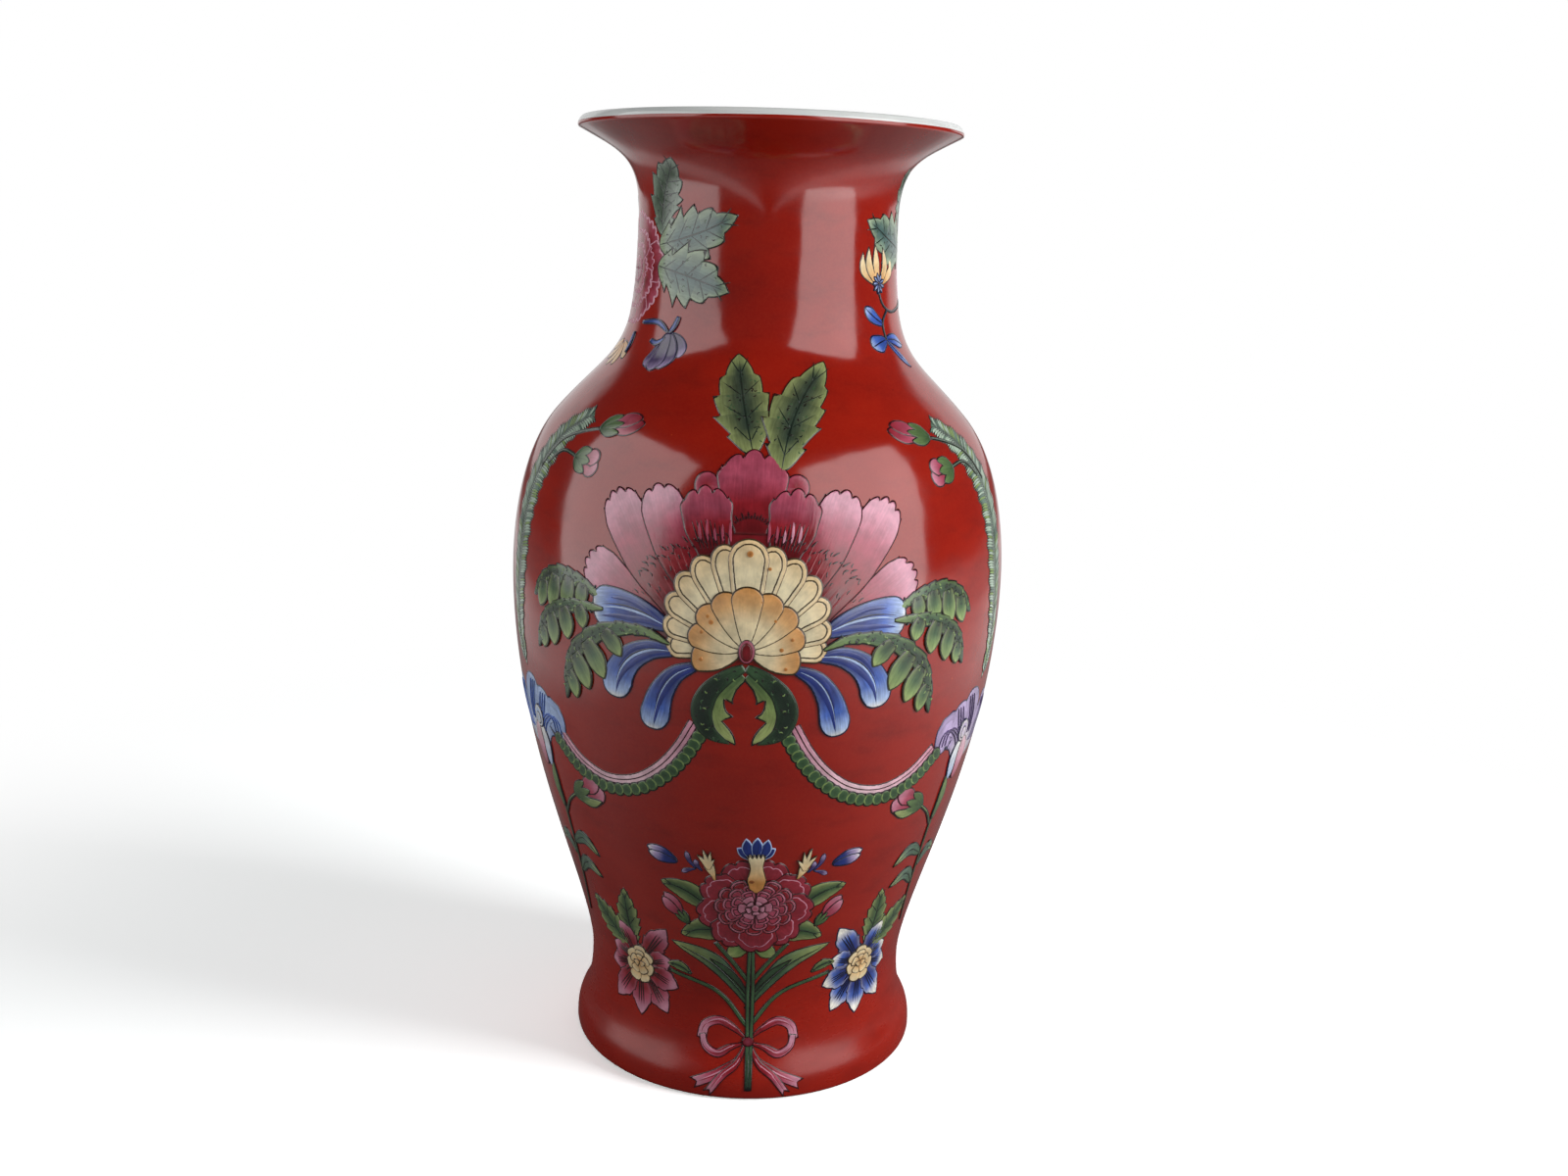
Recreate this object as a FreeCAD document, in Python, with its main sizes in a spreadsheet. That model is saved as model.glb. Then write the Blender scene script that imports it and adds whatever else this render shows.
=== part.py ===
"""Porcelain baluster vase: thrown sections joined with slip, glazes, coral ground and raised enamels."""

import FreeCAD, Part
import math
import os
import Sketcher

os.makedirs("parts", exist_ok=True)
doc = FreeCAD.newDocument("porcelain_vase")
sheet = doc.addObject("Spreadsheet::Sheet", "dims")

# ---------------------------------------------------------------- driving dimensions, mm and degrees

# Every station is a height where the outer outline has a known radius and lean from the vertical.
# The handles are the lengths along the wall that shape the curve just below and just above it.
STATION_DIMENSIONS = {
    "foot": {"radius": 87.5, "height": 3, "lean": 0, "handle_down": 0, "handle_up": 17},
    "waist": {"radius": 79.8, "height": 42, "lean": 0, "handle_down": 31, "handle_up": 35},
    "belly": {"radius": 120.1, "height": 242, "lean": 0, "handle_down": 92, "handle_up": 23},
    "shoulder": {"radius": 98.5, "height": 321, "lean": -41.4, "handle_down": 27, "handle_up": 42},
    "throat": {"radius": 61.1, "height": 411.6, "lean": 0, "handle_down": 66, "handle_up": 26},
    "lip": {"radius": 89.3, "height": 450.2, "lean": 62.7, "handle_down": 22.5, "handle_up": 0},
}
DIMENSIONS = {
    "coat_thickness": 0.5,
    "wall_thickness": 4.3,
    "glaze_thickness": 0.4,
    "enamel_thickness": 0.5,
    "seam_half": 0.5,
    "lip_bulge": 1.6,
    "floor_bottom": 20,
    "floor_thickness": 8,
    "foot_bevel": 1.5,
    "medallion_height": 232,
    "crest_height": 309,
    "swag_height": 194,
    "bouquet_height": 105,
    "flower_height": 60,
    "bow_height": 27,
    "plume_height": 200,
    "iris_height": 178,
    "spray_height": 395,
    "neck_flower_height": 352,
}
STATIONS = list(STATION_DIMENSIONS)

# How deep under the finished outer surface each layer lies.
LAYERS = {
    "enamel": "-enamel_thickness",
    "ground": "0",
    "body": "coat_thickness",
    "lining": "(coat_thickness + wall_thickness)",
    "inside": "(coat_thickness + wall_thickness + glaze_thickness)",
}

rows = iter(range(1, 1000))


def set_dimension(alias, value):
    row = next(rows)
    sheet.set(f"A{row}", alias)
    sheet.set(f"B{row}", str(value))
    sheet.setAlias(f"B{row}", alias)


for dimension, value in DIMENSIONS.items():
    set_dimension(dimension, value)
for station, values in STATION_DIMENSIONS.items():
    for word, value in values.items():
        set_dimension(f"{station}_{word}", value)
doc.recompute()


def size(alias):
    return float(sheet.get(alias))


known_points = {}


def named_point(across, height):
    """A point of the cross-section as two cells, found from two formulas; returns the cells' shared name."""
    key = (across, height)
    if key not in known_points:
        name = f"point_{len(known_points) + 1}"
        set_dimension(f"{name}_across", f"={across}")
        set_dimension(f"{name}_height", f"={height}")
        sheet.recompute()
        known_points[key] = name
    return known_points[key]


def wall_point(station, layer, reach="0"):
    """The point of a layer at a station, moved up along the wall by the length in reach."""
    lean = f"{station}_lean * 1 deg"
    across = f"{station}_radius - {LAYERS[layer]} * cos({lean}) + ({reach}) * sin({lean})"
    height = f"{station}_height + {LAYERS[layer]} * sin({lean}) + ({reach}) * cos({lean})"
    return named_point(across, height)


def vector(point):
    return FreeCAD.Vector(size(f"{point}_across"), size(f"{point}_height"), 0)


# ---------------------------------------------------------------- sketches and bodies


def new_body(name):
    body = doc.addObject("PartDesign::Body", name)
    body.Label = name
    return body


def sketch_on(body, name, role):
    """A sketch on one of the body's own origin planes."""
    sketch = body.newObject("Sketcher::SketchObject", name)
    plane = [p for p in body.Origin.OriginFeatures if p.Role == role][0]
    sketch.AttachmentSupport = [(plane, "")]
    sketch.MapMode = "FlatFace"
    return sketch


def pin(sketch, held):
    """Holds points of the sketch, given as (geometry, corner, point), at the places their cells give."""
    constraints, cells = [], []
    for geometry, corner, point in held:
        place = vector(point)
        constraints.append(Sketcher.Constraint("DistanceX", -1, 1, geometry, corner, place.x))
        constraints.append(Sketcher.Constraint("DistanceY", -1, 1, geometry, corner, place.y))
        cells += [f"dims.{point}_across", f"dims.{point}_height"]
    first = sketch.ConstraintCount
    sketch.addConstraint(constraints)
    for step, cell in enumerate(cells):
        sketch.setExpression(f"Constraints[{first + step}]", cell)


def add_line(sketch, start, end):
    line = sketch.addGeometry(Part.LineSegment(vector(start), vector(end)))
    pin(sketch, [(line, 1, start), (line, 2, end)])


def add_curve(sketch, poles):
    """A cubic curve whose four poles are pinned."""
    curve = Part.BSplineCurve()
    curve.buildFromPolesMultsKnots([vector(p) for p in poles], [4, 4], [0.0, 1.0], False, 3)
    index = sketch.addGeometry(curve)
    sketch.exposeInternalGeometry(index)
    pin(sketch, [(index + 1 + step, 3, pole) for step, pole in enumerate(poles)])


def wall_curve(lower, upper, layer, gap="0"):
    """The poles of a layer's outline between two neighbouring stations, stopping gap short of each."""
    return [
        wall_point(lower, layer, gap),
        wall_point(lower, layer, f"{lower}_handle_up"),
        wall_point(upper, layer, f"-{upper}_handle_down"),
        wall_point(upper, layer, f"-({gap})"),
    ]


def close_with_lines(sketch, points):
    for start, end in zip(points, points[1:]):
        add_line(sketch, start, end)


def revolve(body, sketch):
    turn = body.newObject("PartDesign::Revolution", f"{body.Name}_turned")
    turn.Profile = sketch
    turn.ReferenceAxis = (sketch, ["V_Axis"])
    turn.Angle = 360
    sketch.Visibility = False


def wall_section(name, stations, outer, inner, gap="0"):
    """A turned shell between two layers, running through the given stations."""
    body = new_body(name)
    sketch = sketch_on(body, f"{name}_outline", "XZ_Plane")
    for layer in (outer, inner):
        for lower, upper in zip(stations, stations[1:]):
            add_curve(sketch, wall_curve(lower, upper, layer, gap))
    first, last = stations[0], stations[-1]
    add_line(sketch, wall_point(first, outer, gap), wall_point(first, inner, gap))
    add_line(sketch, wall_point(last, outer, f"-({gap})"), wall_point(last, inner, f"-({gap})"))
    revolve(body, sketch)
    return body


def seam_ring(name, station):
    """The slip that fills the joint between two thrown sections."""
    body = new_body(name)
    sketch = sketch_on(body, f"{name}_outline", "XZ_Plane")
    corners = [
        wall_point(station, "body", "-seam_half"),
        wall_point(station, "lining", "-seam_half"),
        wall_point(station, "lining", "seam_half"),
        wall_point(station, "body", "seam_half"),
    ]
    close_with_lines(sketch, corners + corners[:1])
    revolve(body, sketch)
    return body


# ---------------------------------------------------------------- the porcelain pieces

FOOT_INNER = "waist_radius - coat_thickness - wall_thickness"
FLOOR_TOP = "floor_bottom + floor_thickness"


def foot_ring():
    """Turned foot: curved outside, plain bore inside, bevelled bottom edge that the vase stands on."""
    body = new_body("foot_ring")
    sketch = sketch_on(body, "foot_ring_outline", "XZ_Plane")
    add_curve(sketch, wall_curve("foot", "waist", "body", "0")[:3] + [wall_point("waist", "body", "-seam_half")])
    close_with_lines(
        sketch,
        [
            wall_point("waist", "body", "-seam_half"),
            named_point(FOOT_INNER, "waist_height - seam_half"),
            named_point(FOOT_INNER, "foot_bevel"),
            named_point(f"{FOOT_INNER} + foot_bevel", "0"),
            named_point("foot_radius - coat_thickness - foot_bevel", "0"),
            named_point("foot_radius - coat_thickness", "foot_bevel"),
            wall_point("foot", "body"),
        ],
    )
    revolve(body, sketch)
    return body


def disc(name, radius, bottom, top):
    """A plain round slab about the axis, by its radius and two heights."""
    body = new_body(name)
    sketch = sketch_on(body, f"{name}_outline", "XZ_Plane")
    corners = [(("0"), bottom), (radius, bottom), (radius, top), (("0"), top)]
    points = [named_point(across, height) for across, height in corners]
    close_with_lines(sketch, points + points[:1])
    revolve(body, sketch)
    return body


def base_seam():
    """The slip between the floor disc and the foot ring's bore."""
    body = new_body("base_slip_seam")
    sketch = sketch_on(body, "base_slip_seam_outline", "XZ_Plane")
    inner = f"{FOOT_INNER} - 2 * seam_half"
    corners = [
        named_point(inner, "floor_bottom"),
        named_point(FOOT_INNER, "floor_bottom"),
        named_point(FOOT_INNER, FLOOR_TOP),
        named_point(inner, FLOOR_TOP),
    ]
    close_with_lines(sketch, corners + corners[:1])
    revolve(body, sketch)
    return body


def interior_glaze():
    """White glaze that lines the whole inside, from the floor to the lip."""
    body = new_body("interior_white_glaze")
    sketch = sketch_on(body, "interior_white_glaze_outline", "XZ_Plane")
    for layer in ("lining", "inside"):
        for lower, upper in zip(STATIONS[1:], STATIONS[2:]):
            add_curve(sketch, wall_curve(lower, upper, layer))
    close_with_lines(
        sketch,
        [
            wall_point("waist", "lining"),
            named_point(FOOT_INNER, FLOOR_TOP),
            named_point("0", FLOOR_TOP),
            named_point("0", f"{FLOOR_TOP} + glaze_thickness"),
            named_point(f"{FOOT_INNER} - glaze_thickness", f"{FLOOR_TOP} + glaze_thickness"),
            wall_point("waist", "inside"),
        ],
    )
    add_line(sketch, wall_point("lip", "lining"), wall_point("lip", "inside"))
    revolve(body, sketch)
    return body


def lip_glaze():
    """White glaze rolled over the lip's edge, from the coral ground to the interior glaze."""
    body = new_body("lip_white_glaze")
    sketch = sketch_on(body, "lip_white_glaze_outline", "XZ_Plane")
    outer = wall_point("lip", "ground")
    inner = wall_point("lip", "inside")
    bulge = [wall_point("lip", "ground", "lip_bulge"), wall_point("lip", "inside", "lip_bulge")]
    add_curve(sketch, [outer] + bulge + [inner])
    add_line(sketch, inner, outer)
    revolve(body, sketch)
    return body


pieces = [
    foot_ring(),
    disc("base_disc", f"{FOOT_INNER} - 2 * seam_half", "floor_bottom", FLOOR_TOP),
    base_seam(),
    wall_section("lower_body", ["waist", "belly"], "body", "lining", "seam_half"),
    wall_section("upper_body", ["belly", "shoulder"], "body", "lining", "seam_half"),
    wall_section("neck_section", ["shoulder", "throat"], "body", "lining", "seam_half"),
    wall_section("mouth_section", ["throat", "lip"], "body", "lining", "seam_half"),
    seam_ring("waist_slip_seam", "waist"),
    seam_ring("belly_slip_seam", "belly"),
    seam_ring("shoulder_slip_seam", "shoulder"),
    seam_ring("throat_slip_seam", "throat"),
    interior_glaze(),
    lip_glaze(),
    disc("base_white_glaze", FOOT_INNER, "floor_bottom - glaze_thickness", "floor_bottom"),
    wall_section("coral_enamel_ground", STATIONS, "ground", "body"),
]
enamel_skin = wall_section("enamel_skin", STATIONS, "enamel", "ground")


# ---------------------------------------------------------------- outlines of the raised enamels
# An outline is drawn flat, in mm across and up from the middle of its motif, and then laid on the skin.


def arc(start, end, bulge):
    """An arc whose middle stands off to the left of the way from start to end by bulge."""
    first, last = FreeCAD.Vector(*start, 0), FreeCAD.Vector(*end, 0)
    along = last - first
    aside = FreeCAD.Vector(-along.y, along.x, 0).normalize() * bulge
    return Part.Arc(first, (first + last) * 0.5 + aside, last)


def leaf(tip, base, width):
    return [arc(tip, base, width / 2), arc(base, tip, width / 2)]


def crescent(tip, base, outer, inner):
    """A curled leaf or a ribbon: both edges bend the same way, by outer and by inner."""
    return [arc(tip, base, outer), arc(base, tip, -inner)]


def on_ellipse(centre, across, up, angle):
    turn = math.radians(angle)
    return (centre[0] + across * math.cos(turn), centre[1] + up * math.sin(turn))


def blossom(centre, across, up, lobes):
    """A closed flower outline with round lobes."""
    depth = 1.2 * math.pi * (across + up) / 2 / lobes / 3
    points = [on_ellipse(centre, across, up, 360 * i / lobes) for i in range(lobes + 1)]
    points[-1] = points[0]
    return [arc(a, b, -depth) for a, b in zip(points, points[1:])]


def fan(inner, outer, start, end, lobes):
    """A half-open flower: round lobes outside, one plain arc inside, both about the motif's middle."""
    step = (end - start) / lobes
    rim = [on_ellipse((0, 0), outer, outer, start + step * i) for i in range(lobes + 1)]
    core = [on_ellipse((0, 0), inner, inner, angle) for angle in (end, (start + end) / 2, start)]
    depth = outer * math.radians(step) / 4
    closing = [FreeCAD.Vector(*p, 0) for p in (rim[-1], core[0], core[-1], rim[0])]
    return (
        [arc(a, b, -depth) for a, b in zip(rim, rim[1:])]
        + [Part.LineSegment(closing[0], closing[1])]
        + [Part.Arc(*[FreeCAD.Vector(*p, 0) for p in core])]
        + [Part.LineSegment(closing[2], closing[3])]
    )


def pair(draw, *points_and_sizes):
    """The same outline on the left and mirrored on the right."""
    drawn = []
    for side in (-1, 1):
        mirrored = [(v[0] * side, v[1]) if isinstance(v, tuple) else v for v in points_and_sizes]
        if draw is crescent:
            mirrored[2:] = [bulge * side for bulge in mirrored[2:]]
        drawn += draw(*mirrored)
    return drawn


# Each motif: the height of its middle, then (turn from the face's axis in degrees, outlines) groups.
MOTIFS = {
    "crest_leaves": ("crest_height", [(0, pair(leaf, (17, 42), (2.5, 2), 11))]),
    "peony_fan": ("medallion_height", [(0, fan(49, 73, 20, 160, 9))]),
    "lotus_flower": ("medallion_height", [(0, blossom((0, 17), 38, 27, 18))]),
    "blue_petals": (
        "medallion_height",
        [
            (-26, leaf((-18, 8), (18, 10), 11) + leaf((-15, -14), (20, -10), 11)),
            (26, leaf((18, 8), (-18, 10), 11) + leaf((15, -14), (-20, -10), 11)),
            (-17, leaf((-9, -37), (7, -17), 10)),
            (17, leaf((9, -37), (-7, -17), 10)),
        ],
    ),
    "acanthus_leaves": (
        "medallion_height",
        [(-48, leaf((-20, 20), (12, -4), 14)), (48, leaf((20, 20), (-12, -4), 14))],
    ),
    "curled_leaves": ("medallion_height", [(0, pair(crescent, (8, -43), (4, -12), -17, -7))]),
    "ribbon_swags": (
        "swag_height",
        [(-30, crescent((-30, -16), (25, 0), -19, -14)), (30, crescent((30, -16), (-25, 0), 19, 14))],
    ),
    "bead_garlands": (
        "swag_height",
        [(-30, crescent((-30, -19), (25, -3), -24, -20)), (30, crescent((30, -19), (-25, -3), 24, 20))],
    ),
    "shoulder_buds": (
        "crest_height",
        [(side * 37, leaf((side * 12, 16), (side * -14, 6), 9)) for side in (-1, 1)],
    ),
    "feather_plumes": (
        "plume_height",
        [(side * 62, crescent((side * -8, 118), (side * 6, 8), side * 12, side * 2)) for side in (-1, 1)],
    ),
    "iris_flowers": ("iris_height", [(side * 58, blossom((0, 0), 13, 15, 7)) for side in (-1, 1)]),
    "bouquet_flower": ("bouquet_height", [(2, blossom((0, 0), 24, 21, 12))]),
    "bouquet_side_flowers": ("flower_height", [(-37, blossom((0, 0), 19, 22, 10)), (42, blossom((0, 0), 19, 22, 10))]),
    "bouquet_leaves": ("bouquet_height", [(2, pair(leaf, (33, 12), (42, -14), 9) + pair(leaf, (34, -27), (3, -54), 9))]),
    "bow": ("bow_height", [(2, pair(leaf, (22, 1), (3, 0), 11) + pair(crescent, (21, -20), (2, -5), 6, 2.5))]),
    "neck_spray": (
        "spray_height",
        [
            (-72, blossom((0, 4), 11, 14, 9)),
            (-35, leaf((10, 16), (-8, 2), 13) + leaf((6, -2), (-8, -20), 12)),
            (52, leaf((6, 6), (-5, -14), 9) + leaf((9, 40), (6, 12), 6)),
        ],
    ),
}


def prism(name, turn, height, outlines):
    """The outlines drawn on an upright plane through the axis and pushed out through the wall."""
    sketch = doc.addObject("Sketcher::SketchObject", f"{name}_outline")
    upright = FreeCAD.Rotation(FreeCAD.Vector(1, 0, 0), 90)
    facing = FreeCAD.Rotation(FreeCAD.Vector(0, 0, 1), turn)
    sketch.Placement = FreeCAD.Placement(FreeCAD.Vector(0, 0, size(height)), facing * upright)
    sketch.setExpression("Placement.Base.z", f"dims.{height}")
    sketch.addGeometry(outlines)
    pushed = doc.addObject("Part::Extrusion", f"{name}_prism")
    pushed.Base = sketch
    pushed.DirMode = "Normal"
    pushed.Solid = True
    pushed.setExpression("LengthFwd", "dims.belly_radius + 10")
    return pushed


def enamel(name, turn, height, groups):
    """One motif of raised enamel: what the prisms of its outlines share with the thin enamel skin."""
    cutters = doc.addObject("Part::Compound", f"{name}_cutters")
    cutters.Links = [
        prism(f"{name}_{number}", turn + group_turn, height, outlines)
        for number, (group_turn, outlines) in enumerate(groups, 1)
    ]
    relief = doc.addObject("Part::Common", name)
    relief.Base = enamel_skin
    relief.Tool = cutters
    relief.Label = name
    return relief


for face, turn in (("front", 0), ("back", 180)):
    for motif, (height, groups) in MOTIFS.items():
        pieces.append(enamel(f"{face}_{motif}", turn, height, groups))

# ---------------------------------------------------------------- recompute, check and write

doc.recompute()
for thing in doc.Objects:
    faults = [word for word in thing.State if word in ("Invalid", "Error")]
    if faults:
        raise SystemExit(f"{thing.Name} did not rebuild: {faults}")
for piece in pieces:
    if piece.Shape.isNull() or not piece.Shape.isValid():
        raise SystemExit(f"{piece.Label} has no valid shape")
    if not piece.Shape.Solids:
        raise SystemExit(f"{piece.Label} holds no solid")
    piece.Shape.exportStep(f"parts/{piece.Label}.step")
    print(piece.Label, len(piece.Shape.Solids), round(piece.Shape.Volume))
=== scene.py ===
"""Looks of the porcelain vase: coral-red ground, white glaze, and raised enamel flowers laid on the wall."""

import math

import bpy
import numpy as np
from mathutils import Matrix, Vector


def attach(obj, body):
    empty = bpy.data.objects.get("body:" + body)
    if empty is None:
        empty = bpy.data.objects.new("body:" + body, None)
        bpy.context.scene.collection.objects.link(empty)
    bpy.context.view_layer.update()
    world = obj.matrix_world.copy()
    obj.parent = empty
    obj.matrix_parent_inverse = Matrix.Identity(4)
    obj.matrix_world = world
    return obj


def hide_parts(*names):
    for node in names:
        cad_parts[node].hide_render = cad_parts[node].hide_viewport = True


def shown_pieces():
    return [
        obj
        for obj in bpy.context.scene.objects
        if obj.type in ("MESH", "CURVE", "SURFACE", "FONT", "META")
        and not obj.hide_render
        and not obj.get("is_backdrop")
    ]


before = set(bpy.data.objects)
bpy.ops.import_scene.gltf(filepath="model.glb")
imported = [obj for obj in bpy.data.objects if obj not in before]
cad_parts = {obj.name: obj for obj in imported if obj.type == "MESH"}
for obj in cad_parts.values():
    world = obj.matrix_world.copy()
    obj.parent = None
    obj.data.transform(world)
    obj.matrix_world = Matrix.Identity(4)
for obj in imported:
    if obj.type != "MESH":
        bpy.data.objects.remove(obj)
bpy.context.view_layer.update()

MM = 0.001
TURNED_COLUMNS = 256
GLAZE_IOR = 1.75

# ---------------------------------------------------------------- the wall's outline, mm and degrees

# radius, height, lean from the vertical, length of the curve's handle below and above
STATIONS = (
    (87.5, 3.0, 0.0, 0.0, 17.0),
    (79.8, 42.0, 0.0, 31.0, 35.0),
    (120.1, 242.0, 0.0, 92.0, 23.0),
    (98.5, 321.0, -41.4, 27.0, 42.0),
    (61.1, 411.6, 0.0, 66.0, 26.0),
    (89.3, 450.2, 62.7, 22.5, 0.0),
)
WALL_DEPTH = 5.2
FLOOR_HEIGHT = 28.4
LIP_BULGE = 1.6


def station_point(station, depth, reach):
    """A point under a station by depth, moved along the wall by reach."""
    radius, height, lean = station[:3]
    lean = math.radians(lean)
    along = np.array([math.sin(lean), math.cos(lean)])
    inward = np.array([-math.cos(lean), math.sin(lean)])
    return np.array([radius, height]) + depth * inward + reach * along


def wall_points(depth, stations=STATIONS, steps=120):
    """Radius and height of points along the wall, from the foot to the lip, at a depth under its surface."""
    t = np.linspace(0, 1, steps, endpoint=False)[:, None]
    spans = []
    for lower, upper in zip(stations, stations[1:]):
        a = station_point(lower, depth, 0)
        b = station_point(lower, depth, lower[4])
        c = station_point(upper, depth, -upper[3])
        d = station_point(upper, depth, 0)
        spans.append((1 - t) ** 3 * a + 3 * (1 - t) ** 2 * t * b + 3 * (1 - t) * t**2 * c + t**3 * d)
    spans.append(d[None])
    return np.concatenate(spans)


WALL = wall_points(0.0)
WALL = np.concatenate([[[STATIONS[0][0], 0.0]], WALL])
WALL_LENGTH = np.concatenate([[0], np.cumsum(np.hypot(*np.diff(WALL, axis=0).T))])
WALL_TANGENT = np.gradient(WALL, WALL_LENGTH, axis=0)
WALL_TANGENT /= np.linalg.norm(WALL_TANGENT, axis=1)[:, None]


def length_at(height):
    return float(np.interp(height, WALL[:, 1], WALL_LENGTH))


def on_wall(spot, flat, lift):
    """Points laid on the wall: flat is mm across and up from a spot, and lift is mm off the wall.

    The spot is a turn in degrees right of the front and a height in mm."""
    turn, height = spot
    length = length_at(height) + flat[..., 1]
    radius = np.interp(length, WALL_LENGTH, WALL[:, 0])
    level = np.interp(length, WALL_LENGTH, WALL[:, 1])
    outward = np.interp(length, WALL_LENGTH, WALL_TANGENT[:, 1])
    upward = -np.interp(length, WALL_LENGTH, WALL_TANGENT[:, 0])
    angle = math.radians(turn) + flat[..., 0] / radius
    reach = radius + lift * outward
    return np.stack([reach * np.sin(angle), -reach * np.cos(angle), level + lift * upward], -1) * MM


# ---------------------------------------------------------------- colours


def rgb(code):
    """A colour written as rrggbb, as linear values."""
    parts = [int(code[i : i + 2], 16) / 255 for i in (0, 2, 4)]
    return np.array([c / 12.92 if c <= 0.04045 else ((c + 0.055) / 1.055) ** 2.4 for c in parts])


INK = rgb("1c1714")
BROWN_INK = rgb("41331f")
WINE_INK = rgb("3a0a12")
NAVY_INK = rgb("10163a")
MOSS = rgb("3c5a3a")
DARK_MOSS = rgb("1c2a20")
LEAF = rgb("7c9556")
PALE_LEAF = rgb("a2ae6e")
GREY_LEAF = rgb("5f7868")
SEA_LEAF = rgb("45605f")
ROSE = rgb("ab4a60")
MIST_LEAF = rgb("a4b8a4")
PALE_ROSE = rgb("d08fa4")
WHITE_ROSE = rgb("ecc9d2")
CRIMSON = rgb("8a1a24")
DEEP_CRIMSON = rgb("5f0f14")
CREAM = rgb("e6c592")
WHITE = rgb("f3efe4")
IVORY = rgb("e8dab4")
OCHRE = rgb("cf8f4c")
RUST = rgb("a0602f")
COBALT = rgb("22347e")
BLUE = rgb("4264b8")
PALE_BLUE = rgb("a9bfe4")
PURPLE = rgb("4c3a66")
PALE_PURPLE = rgb("bba7d0")


# ---------------------------------------------------------------- shader building


def new_material(name):
    material = bpy.data.materials.new(name)
    material.use_nodes = True
    tree = material.node_tree
    tree.nodes.clear()
    output = tree.nodes.new("ShaderNodeOutputMaterial")
    surface = tree.nodes.new("ShaderNodeBsdfPrincipled")
    tree.links.new(surface.outputs["BSDF"], output.inputs["Surface"])
    return material, tree, surface


def feed(tree, socket, source):
    """Links a socket to another, or sets its value."""
    if isinstance(source, bpy.types.NodeSocket):
        tree.links.new(source, socket)
    elif hasattr(socket.default_value, "__len__") and not hasattr(source, "__len__"):
        socket.default_value = [source] * len(socket.default_value)
    elif hasattr(source, "__len__") and len(socket.default_value) == 4 and len(source) == 3:
        socket.default_value = [*source, 1.0]
    else:
        socket.default_value = source


def math_node(tree, operation, *inputs):
    node = tree.nodes.new("ShaderNodeMath")
    node.operation = operation
    for socket, value in zip(node.inputs, inputs):
        feed(tree, socket, value)
    return node.outputs[0]


def mix_colour(tree, factor, first, second, blend="MIX"):
    node = tree.nodes.new("ShaderNodeMix")
    node.data_type = "RGBA"
    node.blend_type = blend
    for socket, value in zip((node.inputs[0], node.inputs[6], node.inputs[7]), (factor, first, second)):
        feed(tree, socket, value)
    return node.outputs[2]


def remap(tree, value, low, high, out_low=0.0, out_high=1.0):
    """A smooth step of value from low to high."""
    node = tree.nodes.new("ShaderNodeMapRange")
    node.interpolation_type = "SMOOTHSTEP"
    for socket, item in zip(node.inputs, (value, low, high, out_low, out_high)):
        feed(tree, socket, item)
    return node.outputs[0]


def noise(tree, vector, scale, detail=3.0, roughness=0.55):
    node = tree.nodes.new("ShaderNodeTexNoise")
    feed(tree, node.inputs["Vector"], vector)
    feed(tree, node.inputs["Scale"], scale)
    feed(tree, node.inputs["Detail"], detail)
    feed(tree, node.inputs["Roughness"], roughness)
    return node.outputs["Fac"]


def stretched(tree, vector, scale):
    node = tree.nodes.new("ShaderNodeMapping")
    feed(tree, node.inputs["Vector"], vector)
    feed(tree, node.inputs["Scale"], scale)
    return node.outputs[0]


def attribute(tree, name, output="Fac"):
    node = tree.nodes.new("ShaderNodeAttribute")
    node.attribute_name = name
    return node.outputs[output]


def object_coordinates(tree):
    return tree.nodes.new("ShaderNodeTexCoord").outputs["Object"]


def bump(tree, surface, height, distance, strength=1.0):
    node = tree.nodes.new("ShaderNodeBump")
    feed(tree, node.inputs["Height"], height)
    feed(tree, node.inputs["Distance"], distance)
    feed(tree, node.inputs["Strength"], strength)
    tree.links.new(node.outputs[0], surface.inputs["Normal"])


def specks(tree, vector, scale, size):
    """Small round spots scattered at random."""
    node = tree.nodes.new("ShaderNodeTexVoronoi")
    feed(tree, node.inputs["Vector"], vector)
    feed(tree, node.inputs["Scale"], scale)
    return remap(tree, node.outputs["Distance"], size, 0.0)


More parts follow.
